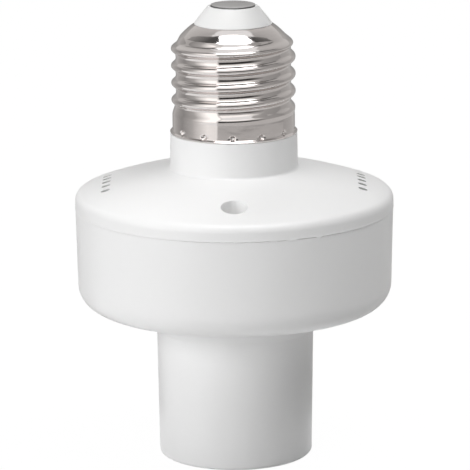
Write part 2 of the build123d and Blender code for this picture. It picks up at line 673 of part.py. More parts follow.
def lampholder_base():
    """Insulating disc under the sleeve's flange, with the spring chamber and screw recesses."""
    body = turned(
        (0, BASE_LOW_Z),
        (BASE_R, BASE_LOW_Z, BASE_ROUND),
        (BASE_R, BASE_TOP_Z),
        (0, BASE_TOP_Z),
    )
    body -= rod(CHAMBER_R, BASE_LOW_Z - PAST, CHAMBER_TOP_Z)
    body -= rod(PLUNGER_STEM_R + PLUNGER_CLEARANCE, BASE_LOW_Z, BASE_TOP_Z + PAST)
    body -= tab_slot(PLATE_TAB_WIDTH, PLATE_SHEET, PLATE_LOW_Z, BASE_TOP_Z + PAST, PLATE_TAB_Y)
    recess_r = HOLDER_SCREW_HEAD_R + SCREW_RECESS_CLEARANCE
    for place in screw_places():
        body -= rod(recess_r, BASE_LOW_Z - PAST, HOLDER_SCREW_SEAT_Z, place)
        body -= rod(HOLDER_SCREW_R + SCREW_CLEARANCE, BASE_LOW_Z, BASE_TOP_Z + PAST, place)
    return body


def holder_screws():
    """The screws that hold the base and the sleeve's flange up against the web."""
    length = WEB_TOP_Z - HOLDER_SCREW_SEAT_Z
    one = Rot(180, 0, 0) * screw(HOLDER_SCREW_R, HOLDER_SCREW_HEAD_R, HOLDER_SCREW_HEAD, length)
    return [Pos(place[0], place[1], HOLDER_SCREW_SEAT_Z) * one for place in screw_places()]


def centre_contact():
    """Sprung plunger that meets the lamp's tip."""
    return turned(
        (0, HEAD_LOW_Z),
        (PLUNGER_HEAD_R, HEAD_LOW_Z, PLUNGER_ROUND),
        (PLUNGER_HEAD_R, HEAD_TOP_Z),
        (PLUNGER_STEM_R, HEAD_TOP_Z),
        (PLUNGER_STEM_R, STEM_TOP_Z),
        (0, STEM_TOP_Z),
    )


def contact_clip():
    """Clip on the plunger's stem, which stops it on top of the web."""
    high = WEB_TOP_Z + CLIP_THICKNESS
    return rod(CLIP_R, WEB_TOP_Z, high) - rod(PLUNGER_STEM_R, WEB_TOP_Z - PAST, high + PAST)


def contact_spring():
    """Coil spring between the plunger's head and the contact plate."""
    low = HEAD_TOP_Z + SPRING_CLEARANCE
    return coil(SPRING_R, SPRING_WIRE_R, low, PLATE_LOW_Z - SPRING_CLEARANCE, SPRING_TURNS)


def contact_plate():
    """Fixed plate that the spring bears on, with a solder tab through the web."""
    plate = rod(CHAMBER_R - PLATE_CLEARANCE, PLATE_LOW_Z, CHAMBER_TOP_Z)
    plate -= rod(PLUNGER_STEM_R + PLUNGER_CLEARANCE, PLATE_LOW_Z - PAST, CHAMBER_TOP_Z + PAST)
    return plate + block(PLATE_TAB_WIDTH, PLATE_SHEET, PLATE_LOW_Z, TAB_TOP_Z, (0, PLATE_TAB_Y))


def circuit_board():
    """Round board that rests on the posts."""
    board = rod(BOARD_R, BOARD_LOW_Z, BOARD_TOP_Z)
    for place in post_places():
        board -= rod(BOARD_SCREW_R + SCREW_RECESS_CLEARANCE, BOARD_LOW_Z - PAST, BOARD_TOP_Z + PAST, place)
    return board


def board_screws():
    """The screws that hold the board on its posts."""
    one = screw(BOARD_SCREW_R, BOARD_SCREW_HEAD_R, BOARD_SCREW_HEAD, BOARD_SCREW_LENGTH)
    return [Pos(place[0], place[1], BOARD_TOP_Z) * one for place in post_places()]


def power_transformer():
    """Small transformer: a ferrite core with its winding standing out of both sides."""
    core = cased(TRANSFORMER_LENGTH - 2 * CORE_INSET, TRANSFORMER_WIDTH, TRANSFORMER_HEIGHT, TRANSFORMER_AT)
    low = BOARD_TOP_Z + CORE_INSET
    high = BOARD_TOP_Z + TRANSFORMER_HEIGHT - CORE_INSET
    winding = block(TRANSFORMER_LENGTH, TRANSFORMER_WIDTH - 2 * CORE_INSET, low, high, TRANSFORMER_AT)
    return core + fillet(winding.edges().filter_by(Axis.Y), CORE_INSET / 2)


def can_capacitor(radius, height, at):
    """Round capacitor can with its crimped groove near the foot."""
    groove_z = BOARD_TOP_Z + radius / 2
    can = turned(
        (0, BOARD_TOP_Z),
        (radius, BOARD_TOP_Z, CAN_GROOVE),
        (radius, groove_z - CAN_GROOVE),
        (radius - CAN_GROOVE, groove_z),
        (radius, groove_z + CAN_GROOVE),
        (radius, BOARD_TOP_Z + height, CASE_ROUND),
        (0, BOARD_TOP_Z + height),
    )
    return Pos(at[0], at[1], 0) * can


def fuse_resistor():
    """Fusible resistor that lies along Y on its bent leads."""
    x, y = FUSE_AT
    axis_z = BOARD_TOP_Z + FUSE_R + LEAD_R
    reach = FUSE_LENGTH / 2 + LEAD_REACH
    body = Pos(x, y, axis_z) * Rot(90, 0, 0) * Cylinder(FUSE_R, FUSE_LENGTH)
    body = fillet(body.edges().filter_by(GeomType.CIRCLE), FUSE_R / 3)
    corners = [(x, y - reach, BOARD_TOP_Z), (x, y - reach, axis_z), (x, y + reach, axis_z)]
    corners.append((x, y + reach, BOARD_TOP_Z))
    path = FilletPolyline(*corners, radius=LEAD_BEND)
    return body + sweep(Plane(path @ 0, z_dir=path % 0) * Circle(LEAD_R), path=path)


def varistor():
    """Surge disc that stands on edge on its two leads."""
    x, y = VARISTOR_AT
    axis_z = BOARD_TOP_Z + VARISTOR_LEAD + VARISTOR_R
    disc = Pos(x, y, axis_z) * Rot(90, 0, 0) * Cylinder(VARISTOR_R, VARISTOR_THICKNESS)
    disc = fillet(disc.edges().filter_by(GeomType.CIRCLE), VARISTOR_THICKNESS / 3)
    for side in (-1, 1):
        disc += rod(LEAD_R, BOARD_TOP_Z, axis_z, (x + side * VARISTOR_R / 2, y))
    return disc


def voltage_regulator():
    """Regulator in a half-round case on the board."""
    x, y = REGULATOR_AT
    high = BOARD_TOP_Z + REGULATOR_HEIGHT
    body = rod(REGULATOR_R, BOARD_TOP_Z, high, REGULATOR_AT)
    return body - block(3 * REGULATOR_R, REGULATOR_R, BOARD_TOP_Z - PAST, high + PAST, (x, y - REGULATOR_R))


def radio_module():
    """Radio daughter board on two header strips."""
    x, y = RADIO_AT
    low = BOARD_TOP_Z + RADIO_HEADER
    body = block(RADIO_LENGTH, RADIO_WIDTH, low, low + RADIO_BOARD, RADIO_AT)
    for side in (-1, 1):
        strip_at = (x, y + side * (RADIO_WIDTH - RADIO_HEADER_WIDTH) / 2)
        body += block(RADIO_LENGTH, RADIO_HEADER_WIDTH, BOARD_TOP_Z, low, strip_at)
    return body


def radio_chip():
    """Radio chip in the middle of the daughter board."""
    low = BOARD_TOP_Z + RADIO_HEADER + RADIO_BOARD
    return block(RADIO_CHIP, RADIO_CHIP, low, low + RADIO_CHIP_HEIGHT, RADIO_AT)


def antenna_coil():
    """Spring antenna that stands on the board."""
    high = BOARD_TOP_Z + ANTENNA_PITCH * ANTENNA_TURNS + 2 * ANTENNA_WIRE_R
    return coil(ANTENNA_R, ANTENNA_WIRE_R, BOARD_TOP_Z, high, ANTENNA_TURNS, ANTENNA_AT)


def tact_switch():
    """Body of the push switch under the button."""
    body = block(SWITCH_SIDE, SWITCH_SIDE, BOARD_TOP_Z, SWITCH_TOP_Z, BUTTON_AT)
    body = fillet(body.edges().filter_by(Axis.Z), SWITCH_ROUND)
    return body - rod(SWITCH_TIP_R + SWITCH_CLEARANCE, SWITCH_WELL_Z, SWITCH_TOP_Z + PAST, BUTTON_AT)


def switch_plunger():
    """Plunger of the push switch, which the button's stem rests on."""
    return rod(SWITCH_TIP_R, SWITCH_WELL_Z + SWITCH_WELL_GAP, SWITCH_TIP_Z, BUTTON_AT)


def status_led():
    """Indicator with a domed lens."""
    lens_z = BOARD_TOP_Z + LED_HEIGHT - LED_R
    body = rod(LED_R, BOARD_TOP_Z, lens_z, LED_AT)
    body += rod(LED_R + LED_FLANGE, BOARD_TOP_Z, BOARD_TOP_Z + LED_FLANGE, LED_AT)
    return body + Pos(LED_AT[0], LED_AT[1], lens_z) * Sphere(LED_R)


def live_feed_wire():
    """Live wire from the nail down through the neck to the board."""
    return wire("live_feed_wire", [
        (0, 0, NAIL_FOOT_Z),
        (0, 0, NECK_TOP_Z + LIVE_BEND_RISE),
        (*LIVE_PAD, DOME_TOP_Z - LIVE_BEND_DROP),
        (*LIVE_PAD, BOARD_TOP_Z),
    ])


def neutral_feed_wire():
    """Neutral wire from the inside of the cap, through the plug's notch, to the board."""
    return wire("neutral_feed_wire", [
        (0, PLUG_R - WIRE_END_GAP, PLUG_TOP_Z - NEUTRAL_END_DROP),
        (0, PLUG_R - NEUTRAL_BEND_IN, PLUG_TOP_Z - NEUTRAL_BEND_DROP),
        (*NEUTRAL_MIDDLE, DOME_TOP_Z + NEUTRAL_MIDDLE_RISE),
        (*NEUTRAL_PAD, DOME_TOP_Z - NEUTRAL_LOW_DROP),
        (*NEUTRAL_PAD, BOARD_TOP_Z),
    ])


def lamp_wire(name, tab_y, sheet):
    """Short wire that lies along a solder tab and rises to the board."""
    y = tab_y + math.copysign(sheet / 2 + WIRE_GAP + WIRE_R, tab_y)
    return wire(name, [(0, y, WEB_TOP_Z + WIRE_R), (0, y, BOARD_LOW_Z)])


pieces = {
    "lower_housing": lower_housing(),
    "upper_cover": upper_cover(),
    "cap_shell": cap_shell(),
    "cap_insulator": cap_insulator(),
    "cap_contact": cap_contact(),
    "pairing_button": pairing_button(),
    "lampholder_shell": lampholder_shell(),
    "lampholder_base": lampholder_base(),
    "holder_screws": holder_screws(),
    "centre_contact": centre_contact(),
    "contact_clip": contact_clip(),
    "contact_spring": contact_spring(),
    "contact_plate": contact_plate(),
    "circuit_board": circuit_board(),
    "board_screws": board_screws(),
    "relay": cased(RELAY_LENGTH, RELAY_WIDTH, RELAY_HEIGHT, RELAY_AT),
    "mains_capacitor": cased(
        MAINS_CAPACITOR_LENGTH, MAINS_CAPACITOR_WIDTH, MAINS_CAPACITOR_HEIGHT, MAINS_CAPACITOR_AT
    ),
    "power_transformer": power_transformer(),
    "large_can_capacitor": can_capacitor(LARGE_CAN_R, LARGE_CAN_HEIGHT, LARGE_CAN_AT),
    "small_can_capacitor": can_capacitor(SMALL_CAN_R, SMALL_CAN_HEIGHT, SMALL_CAN_AT),
    "bridge_rectifier": cased(RECTIFIER_LENGTH, RECTIFIER_WIDTH, RECTIFIER_HEIGHT, RECTIFIER_AT),
    "fuse_resistor": fuse_resistor(),
    "varistor": varistor(),
    "voltage_regulator": voltage_regulator(),
    "radio_module": radio_module(),
    "radio_chip": radio_chip(),
    "antenna_coil": antenna_coil(),
    "tact_switch": tact_switch(),
    "switch_plunger": switch_plunger(),
    "status_led": status_led(),
    "live_feed_wire": live_feed_wire(),
    "neutral_feed_wire": neutral_feed_wire(),
    "lamp_live_wire": lamp_wire("lamp_live_wire", PLATE_TAB_Y, PLATE_SHEET),
    "lamp_neutral_wire": lamp_wire("lamp_neutral_wire", SLEEVE_TAB_Y, TAB_SHEET),
}

os.makedirs("parts", exist_ok=True)
for name, shape in pieces.items():
    piece = Compound(children=shape) if isinstance(shape, list) else shape
    export_step(piece, f"parts/{name}.step")
    print(name, round(piece.volume, 2))
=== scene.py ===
# %% [markdown]
# # A smart lamp socket, dressed in Blender
# The socket screws into a lamp fitting and takes a lamp of its own. A rolled nickel screw cap is on
# top, a white case with a low dome is in the middle, and the barrel of a lamp holder is below.
# The measured solids are loaded first, as a fixed frame. Each piece that shows is then rebuilt on
# that frame, with the rounds, gaps and finishes that catch the light on the real thing.

# %% Load the frame
import json
import math

import bmesh
import bpy
from mathutils import Euler, Matrix, Vector, noise


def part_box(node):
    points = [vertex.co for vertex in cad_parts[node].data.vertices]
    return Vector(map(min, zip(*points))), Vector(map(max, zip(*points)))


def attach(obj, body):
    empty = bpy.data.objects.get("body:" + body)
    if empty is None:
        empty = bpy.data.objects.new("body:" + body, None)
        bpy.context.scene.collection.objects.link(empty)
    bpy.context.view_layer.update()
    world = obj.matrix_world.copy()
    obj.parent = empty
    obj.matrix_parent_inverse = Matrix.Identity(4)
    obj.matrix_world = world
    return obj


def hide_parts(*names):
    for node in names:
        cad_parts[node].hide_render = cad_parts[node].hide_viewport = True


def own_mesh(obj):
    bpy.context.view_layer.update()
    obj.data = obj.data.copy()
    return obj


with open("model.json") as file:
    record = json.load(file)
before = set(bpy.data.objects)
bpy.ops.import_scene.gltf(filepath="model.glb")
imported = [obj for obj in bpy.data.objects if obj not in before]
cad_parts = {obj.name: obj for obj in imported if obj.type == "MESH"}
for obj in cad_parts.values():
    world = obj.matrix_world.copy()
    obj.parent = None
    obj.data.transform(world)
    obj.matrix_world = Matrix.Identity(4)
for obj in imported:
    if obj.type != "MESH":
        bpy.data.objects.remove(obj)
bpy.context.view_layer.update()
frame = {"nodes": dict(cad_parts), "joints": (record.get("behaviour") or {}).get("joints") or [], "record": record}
MM = 0.001
TAU = math.tau
print("solids in the frame:", len(frame["nodes"]))

# %% [markdown]
# ## Sizes
# The frame knows where every solid is, so the main sizes are read from it and can't drift apart. The
# few sizes that a box round a solid can't tell, such as the thread's depth, are written out.
# Everything below is in millimetres, because that is how such a part is drawn. A mesh is scaled to
# metres only when it is made.

# %% Read the main sizes from the frame
def span(node):
    """Lowest and highest corner of a solid, in millimetres."""
    low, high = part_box(node)
    return low / MM, high / MM


SEAM_Z = span("lower_housing")[1].z
TUB_R = span("lower_housing")[1].x
COVER_R = span("upper_cover")[1].x
PLUG_TOP_Z = span("upper_cover")[1].z
NECK_TOP_Z = span("cap_shell")[0].z
CAP_TOP_Z = span("cap_shell")[1].z
CAP_RIM_R = span("cap_shell")[1].x
TIP_Z = span("cap_insulator")[1].z
CONTACT_R = span("cap_contact")[1].x
SLEEVE_LOW_Z = span("lampholder_shell")[0].z
BASE_LOW_Z = span("lampholder_base")[0].z
BUTTON_TOP_Z = span("pairing_button")[1].z
BUTTON_LOW_Z = span("pairing_button")[0].z
BUTTON_Y = (span("pairing_button")[0].y + span("pairing_button")[1].y) / 2
print("seam at", round(SEAM_Z, 2), "neck top at", round(NECK_TOP_Z, 2), "tip at", round(TIP_Z, 2))

# %% The lamp thread, which sets the sizes around it
THREAD_CREST_R = 13.03
THREAD_DEPTH = 0.97
THREAD_PITCH = 3.629
THREAD_CLEARANCE = 0.28
CAP_SHEET = 0.35
CAP_BAND_INSET = 0.18
CAP_BAND_HEIGHT = 4.05
CAP_MOUTH_R = 8.1
NECK_LEDGE = 0.46
NECK_SPREAD = 0.15
SLEEVE_ROOM = 0.68
MOUTH_STEP = 0.5
CAP_BAND_R = THREAD_CREST_R - CAP_BAND_INSET
NECK_TOP_R = CAP_BAND_R + NECK_LEDGE
NECK_BASE_R = NECK_TOP_R + NECK_SPREAD
HOLDER_BORE_R = THREAD_CREST_R + THREAD_CLEARANCE + SLEEVE_ROOM
MOUTH_R = HOLDER_BORE_R + MOUTH_STEP
print("thread", round(2 * THREAD_CREST_R, 2), "mm across, holder mouth", round(2 * MOUTH_R, 2), "mm across")

# %% [markdown]
# ## Turned shapes
# Nearly every piece here is round, so it can be drawn as a flat outline and swept round the axis, as
# on a lathe. A Screw modifier would do it too. Writing the rings directly keeps control of where the
# rounds get their extra rings, and lets a closed outline make a closed skin with no seam.

# %% Outlines
ARC_STEP = math.radians(9)
RUN_STEP = 1.1


def arc(centre, radius, start, end):
    """Points on an arc of an outline, with angles in radians."""
    count = max(2, math.ceil(abs(end - start) / ARC_STEP))
    turns = [start + (end - start) * step / count for step in range(count + 1)]
    return [(centre[0] + radius * math.cos(turn), centre[1] + radius * math.sin(turn)) for turn in turns]


def rounded(corners):
    """A closed outline. A corner is a radius, a height and, where it has one, a round."""
    points = []
    for number, corner in enumerate(corners):
        here = Vector(corner[:2])
        bend = corner[2] if len(corner) > 2 else 0
        if not bend:
            points.append(here)
            continue
        back = (Vector(corners[number - 1][:2]) - here).normalized()
        ahead = (Vector(corners[(number + 1) % len(corners)][:2]) - here).normalized()
        inside = back.angle(ahead)
        centre = here + (back + ahead).normalized() * bend / math.sin(inside / 2)
        first = here + back * bend / math.tan(inside / 2) - centre
        last = here + ahead * bend / math.tan(inside / 2) - centre
        start = math.atan2(first.y, first.x)
        sweep = math.atan2(first.x * last.y - first.y * last.x, first.dot(last))
        points += [Vector(point) for point in arc(centre, bend, start, start + sweep)]
    runs = []
    for here, ahead in zip(points, points[1:] + points[:1]):
        count = max(1, math.ceil((ahead - here).length / RUN_STEP))
        runs += [here.lerp(ahead, step / count) for step in range(count)]
    return runs


print("points on a quarter round:", len(arc((0, 0), 1, 0, math.pi / 2)))

# %% The lathe
AROUND = 320
ON_AXIS = 1e-6


def new_piece(name, mesh):
    """An object for a mesh, linked into the scene."""
    piece = bpy.data.objects.new(name, mesh)
    bpy.context.scene.collection.objects.link(piece)
    return piece


def shade(piece, crease_deg=32):
    """Smooth shading with the real corners left sharp."""
    piece.data.polygons.foreach_set("use_smooth", [True] * len(piece.data.polygons))
    piece.data.set_sharp_from_angle(angle=math.radians(crease_deg))
    return piece


def lathe(name, corners, at=(0, 0), around=AROUND):
    """Sweep a closed outline about an upright axis. Its points on the axis become poles."""
    places = []
    rings = []
    for radius, height in rounded(corners):
        first = len(places)
        if radius < ON_AXIS:
            places.append((at[0] * MM, at[1] * MM, height * MM))
            rings.append([first] * around)
            continue
        for step in range(around):
            turn = TAU * step / around
            x = at[0] + radius * math.cos(turn)
            y = at[1] + radius * math.sin(turn)
            places.append((x * MM, y * MM, height * MM))
        rings.append(list(range(first, first + around)))
    faces = []
    for low, high in zip(rings, rings[1:] + rings[:1]):
        for step in range(around):
            after = (step + 1) % around
            face = list(dict.fromkeys((low[step], low[after], high[after], high[step])))
            if len(face) > 2:
                faces.append(face)
    mesh = bpy.data.meshes.new(name)
    mesh.from_pydata(places, [], faces)
    draft = bmesh.new()
    draft.from_mesh(mesh)
    bmesh.ops.recalc_face_normals(draft, faces=draft.faces)
    draft.to_mesh(mesh)
    draft.free()
    return shade(new_piece(name, mesh))


print("columns round a turned piece:", AROUND)

# %% [markdown]
# ## Modifiers as tools
# In the real cover, a pin in the mould leaves each hole. In Blender a boolean modifier can cut it. A
# modifier only shows its result, so that result is made the piece's own mesh at once. The finished
# pieces are then plain meshes that hold just what they show.

# %% Settle and carve
def settle(piece):
    """Make what the modifiers show the piece's own plain mesh, and remove the modifiers."""
    shown = piece.evaluated_get(bpy.context.evaluated_depsgraph_get())
    mesh = bpy.data.meshes.new_from_object(shown)
    piece.modifiers.clear()
    piece.data = mesh
    return piece


def carve(piece, tool, operation="DIFFERENCE"):
    """Cut a tool out of a piece, or join it on, and throw the tool away."""
    change = piece.modifiers.new("carve", "BOOLEAN")
    change.operation = operation
    change.solver = "EXACT"
    change.material_mode = "TRANSFER"
    change.object = tool
    settle(piece)
    bpy.data.objects.remove(tool)
    return piece


# %% [markdown]
# ## Formulas in node trees
# A node tree can hold a formula, but written node by node it is hard to read. This small class
# stands for one number in a tree. Adding or multiplying two of them makes the Math node and the
# links, so the formulas further down read as formulas, in geometry trees and in shader trees alike.

# %% A number in a node tree
def connect(value, entry):
    """Feed a socket with a field's link or with a plain number."""
    if isinstance(value, Field):
        entry.id_data.links.new(value.socket, entry)
    else:
        entry.default_value = value


class Field:
    """A number in a node tree that can be used in a formula."""

    def __init__(self, socket):
        self.socket = socket

    def math(self, operation, *values):
        node = self.socket.id_data.nodes.new("ShaderNodeMath")
        node.operation = operation
        for entry, value in zip(node.inputs, (self, *values)):
            connect(value, entry)
        return Field(node.outputs[0])

    def smooth(self, low, high):
        """A soft step from 0 at low to 1 at high."""
        node = self.socket.id_data.nodes.new("ShaderNodeMapRange")
        node.interpolation_type = "SMOOTHSTEP"
        for entry, value in zip(node.inputs, (self, low, high, 0.0, 1.0)):
            connect(value, entry)
        return Field(node.outputs[0])

    def __add__(self, value):
        return self.math("ADD", value)

    def __sub__(self, value):
        return self.math("SUBTRACT", value)

    def __rsub__(self, value):
        return self.math("MULTIPLY", -1.0) + value

    def __mul__(self, value):
        return self.math("MULTIPLY", value)

    def __truediv__(self, value):
        return self.math("DIVIDE", value)

    def __pow__(self, value):
        return self.math("POWER", value)

    __radd__ = __add__
    __rmul__ = __mul__


# %% [markdown]
# ## Making node trees
# A tree is a recipe, and its named inputs are the sizes that a maker would ask for. The interface
# gives each input a hidden identifier, and the modifier keeps the values under that. They are set
# before the tree first runs, and the result is then settled like any other modifier.

# %% Trees, nodes and the meshes they grow
def new_tree(name, kind, inputs, outputs):
    """A node tree with named sockets, and its own input and output nodes."""
    tree = bpy.data.node_groups.new(name, kind)
    for label, socket in inputs:
        tree.interface.new_socket(label, in_out="INPUT", socket_type="NodeSocket" + socket)
    for label, socket in outputs:
        tree.interface.new_socket(label, in_out="OUTPUT", socket_type="NodeSocket" + socket)
    return tree, tree.nodes.new("NodeGroupInput"), tree.nodes.new("NodeGroupOutput")


def add_node(tree, kind, links=None, **settings):
    """A node with its settings made and its inputs fed by sockets, fields or plain values."""
    node = tree.nodes.new(kind)
    for label, value in settings.items():
        setattr(node, label, value)
    for label, value in (links or {}).items():
        if isinstance(value, bpy.types.NodeSocket):
            tree.links.new(value, node.inputs[label])
        else:
            connect(value, node.inputs[label])
    return node


def end_tree(tree, last, material, sink):
    """End a geometry tree: real meshes instead of instances, with their finish."""
    real = add_node(tree, "GeometryNodeRealizeInstances", {"Geometry": last.outputs[0]})
    done = add_node(tree, "GeometryNodeSetMaterial", {"Geometry": real.outputs[0], "Material": material})
    tree.links.new(done.outputs[0], sink.inputs[0])


def grown(name, tree, values):
    """The plain mesh that a geometry tree makes from these input values."""
    piece = new_piece(name, bpy.data.meshes.new(name))
    modifier = piece.modifiers.new(name, "NODES")
    modifier.node_group = tree
    for item in tree.interface.items_tree:
        if item.in_out == "INPUT" and item.name in values:
            modifier[item.identifier] = values[item.name]
    return settle(piece)


# %% [markdown]
# ## Finishes
# Two effects are shared by many materials, so each is a node group. The first is the skin of a
# moulding: a very faint mottle, a fine grain left by the tool, and a few dust specks under the
# surface. The second is rolled or drawn metal: fine lines that run round the axis and a slow
# change in tone. Object coordinates keep both in place when the socket is moved.

# %% Skin of a moulding
SLOW_SCALE = 70.0
FLOW_SCALE = 420.0
SPECK_SCALE = 160.0
SPECK_SHARE = 0.035
SPECK_CORE = 0.02
SPECK_EDGE = 0.05
SPECK_TONE = 0.12
SPECK_HEIGHT = 2.0
GRAIN_HEIGHT = 0.6
FLOW_ROUGH = 0.07
GRAIN_ROUGH = 0.05


def noise_node(tree, vector, scale, detail):
    """A noise texture's value."""
    node = add_node(tree, "ShaderNodeTexNoise", {"Vector": vector, "Scale": scale, "Detail": detail})
    return Field(node.outputs[0])


def tinted(tree, colour, gain):
    """A colour made lighter or darker by a field."""
    node = add_node(tree, "ShaderNodeVectorMath", {0: colour}, operation="SCALE")
    connect(gain, node.inputs["Scale"])
    return node.outputs[0]


def moulded_skin():
    """Node group: colour, roughness and height of a moulded surface."""
    tree, source, sink = new_tree(
        "moulded_skin",
        "ShaderNodeTree",
        [("Tone", "Color"), ("Gloss", "Float"), ("Mottle", "Float"), ("Grain", "Float")],
        [("Color", "Color"), ("Roughness", "Float"), ("Height", "Float")],
    )
    place = add_node(tree, "ShaderNodeTexCoord").outputs["Object"]
    mottle = Field(source.outputs["Mottle"])
    slow = noise_node(tree, place, SLOW_SCALE, 2.0)
    flow = noise_node(tree, place, FLOW_SCALE, 3.0)
    grain = noise_node(tree, place, Field(source.outputs["Grain"]), 2.0)
    cells = add_node(tree, "ShaderNodeTexVoronoi", {"Vector": place, "Scale": SPECK_SCALE})
    chance = Field(add_node(tree, "ShaderNodeSeparateColor", {0: cells.outputs["Color"]}).outputs[0])
    core = 1 - Field(cells.outputs["Distance"]).smooth(SPECK_CORE, SPECK_EDGE)
    speck = core * chance.math("LESS_THAN", SPECK_SHARE)
    gain = 1 + (slow - 0.5) * mottle + (flow - 0.5) * mottle * 0.5 - speck * SPECK_TONE
    tree.links.new(tinted(tree, source.outputs["Tone"], gain), sink.inputs["Color"])
    rough = Field(source.outputs["Gloss"]) + (flow - 0.5) * FLOW_ROUGH + (grain - 0.5) * GRAIN_ROUGH
    connect(rough, sink.inputs["Roughness"])
    connect(grain * GRAIN_HEIGHT + flow - speck * SPECK_HEIGHT, sink.inputs["Height"])
    return tree


MOULDED = moulded_skin()
print("nodes in the moulded skin:", len(MOULDED.nodes))

# %% Rolled and drawn metal
LINE_TURN = 1.6
LINE_PACK = 900.0
LINE_SCALE = 3.0
CLOUD_SCALE = 160.0
FINE_SCALE = 1400.0
FINE_HEIGHT = 0.25
LINE_TONE = 0.06
LINE_ROUGH = 0.1
CLOUD_ROUGH = 0.08


def rolled_metal():
    """Node group: colour, roughness and height of a metal sheet worked round the axis."""
    tree, source, sink = new_tree(
        "rolled_metal",
        "ShaderNodeTree",
        [("Tone", "Color"), ("Gloss", "Float"), ("Lines", "Float"), ("Stain", "Float")],
        [("Color", "Color"), ("Roughness", "Float"), ("Height", "Float")],
    )
    place = add_node(tree, "ShaderNodeTexCoord").outputs["Object"]
    parts = add_node(tree, "ShaderNodeSeparateXYZ", {0: place})
    x, y, z = (Field(socket) for socket in parts.outputs)
    turn = y.math("ARCTAN2", x)
    radius = (x * x + y * y) ** 0.5
    unrolled = add_node(tree, "ShaderNodeCombineXYZ")
    for entry, value in zip(unrolled.inputs, (turn * LINE_TURN, radius * LINE_PACK, z * LINE_PACK)):
        connect(value, entry)
    lines = noise_node(tree, unrolled.outputs[0], LINE_SCALE, 4.0)
    cloud = noise_node(tree, place, CLOUD_SCALE, 3.0)
    fine = noise_node(tree, place, FINE_SCALE, 2.0)
    gain = 1 + (cloud - 0.5) * Field(source.outputs["Stain"]) + (lines - 0.5) * LINE_TONE
    tree.links.new(tinted(tree, source.outputs["Tone"], gain), sink.inputs["Color"])
    rough = Field(source.outputs["Gloss"]) + (lines - 0.5) * LINE_ROUGH + (cloud - 0.5) * CLOUD_ROUGH
    connect(rough, sink.inputs["Roughness"])
    connect(lines * Field(source.outputs["Lines"]) + fine * FINE_HEIGHT, sink.inputs["Height"])
    return tree


ROLLED = rolled_metal()
print("nodes in the rolled metal:", len(ROLLED.nodes))

# %% [markdown]
# ## Materials
# A material joins one of the two groups to the Principled shader, with plain numbers on the shader's
# own sockets. The case is satin white plastic, the cap bright nickel, and the contact dull tin. Two greys
# are painted shade: a dark one on the contact's edge, and a mid one on the walls of the slots, because little
# light gets out of them again.

# %% Materials of the pieces that are rebuilt
def finish(name, group, values, bump=0.1, depth=0.02, **sockets):
    """A material: a finish group feeds the shader, and plain numbers stay on the shader's sockets."""
    material = bpy.data.materials.new(name)
    material.use_nodes = True
    tree = material.node_tree
    shader = tree.nodes["Principled BSDF"]
    skin = add_node(tree, "ShaderNodeGroup", node_tree=group)
    for label, value in values.items():
        skin.inputs[label].default_value = value
    ridge = add_node(tree, "ShaderNodeBump", {"Height": skin.outputs["Height"]})
    ridge.inputs["Strength"].default_value = bump
    ridge.inputs["Distance"].default_value = depth * MM
    tree.links.new(skin.outputs["Color"], shader.inputs["Base Color"])
    tree.links.new(skin.outputs["Roughness"], shader.inputs["Roughness"])
    tree.links.new(ridge.outputs["Normal"], shader.inputs["Normal"])
    for label, value in sockets.items():
        shader.inputs[label.replace("_", " ")].default_value = value
    return material


def moulding(name, tone, gloss=0.4, mottle=0.02, grain=2600.0, **sockets):
    """A plastic or lacquer finish."""
    values = {"Tone": (*tone, 1), "Gloss": gloss, "Mottle": mottle, "Grain": grain}
    return finish(name, MOULDED, values, **sockets)


def metal(name, tone, gloss=0.2, lines=1.0, stain=0.1, **sockets):
    """A bare or plated metal finish."""
    values = {"Tone": (*tone, 1), "Gloss": gloss, "Lines": lines, "Stain": stain}
    return finish(name, ROLLED, values, Metallic=1.0, **sockets)


white_plastic = moulding("white_plastic", (0.86, 0.86, 0.86), gloss=0.34)
white_insulator = moulding("white_insulator", (0.79, 0.79, 0.785), gloss=0.42)
button_plastic = moulding("button_plastic", (0.8, 0.8, 0.79), gloss=0.45)
# Painted shade: a mid grey on the slots' walls stands for the shade deep inside them.
vent_dust = moulding("vent_dust", (0.6, 0.6, 0.595), gloss=0.7, mottle=0.3)
holder_base = moulding("holder_base", (0.74, 0.72, 0.67), gloss=0.5, mottle=0.08)
nickel = metal("nickel", (0.72, 0.685, 0.672), gloss=0.08)
tinned = metal("tinned", (0.66, 0.66, 0.66), gloss=0.32, stain=0.25)
# Painted shade: a dark grey on the contact's upright wall draws the dark ring round the disc.
punched_edge = metal("punched_edge", (0.2, 0.2, 0.2), gloss=0.45, stain=0.3)
holder_metal = metal("holder_metal", (0.7, 0.68, 0.64), gloss=0.2)
print("materials so far:", len(bpy.data.materials))

# %% [markdown]
# ## The lower housing
# The barrel and the round tub above it are one moulding: no joint shows between them, only a crisp
# crease where the barrel opens into a short cone under the tub. The outline below goes once round
# the wall's section, up the outside and down the inside, so the skin is closed. At the rim the outside
# stops a hair below the cover, which leaves the dark slit of the seam. Joined cylinders could give the
# same shape, but each round would have to be bevelled by hand.

# %% Sizes of the lower housing
CREASE_Z = 27.3
BARREL_DRAFT_DEG = 0.8
BARREL_WALL = 1.71
FLOOR_Z = 32.4
ROOT_FLARE = 1.6
TUB_DRAFT_DEG = 1.25
WALL = 1.9
MOUTH_ROUND = 0.5
FOOT_ROUND = 0.9
CREASE_ROUND = 0.3
ROOT_ROUND = 0.6
TUB_ROUND = 4.9
TUB_IN_ROUND = 3.0
SHELF_ROUND = 0.15
REBATE_DEPTH = 2.9
REBATE_STEP = 0.35
SEAM_ROUND = 0.06
SEAM_SLIT = 0.08
SEAM_REACH = 0.25
MOUTH_DEPTH = 3.6
WEB_LOW_Z = 26.2
WEB_TOP_Z = 28.6
BARREL_R = MOUTH_R + BARREL_WALL
FLOOR_TOP_Z = FLOOR_Z + WALL
TUB_LOW_R = TUB_R - (SEAM_Z - FLOOR_Z) * math.tan(math.radians(TUB_DRAFT_DEG))
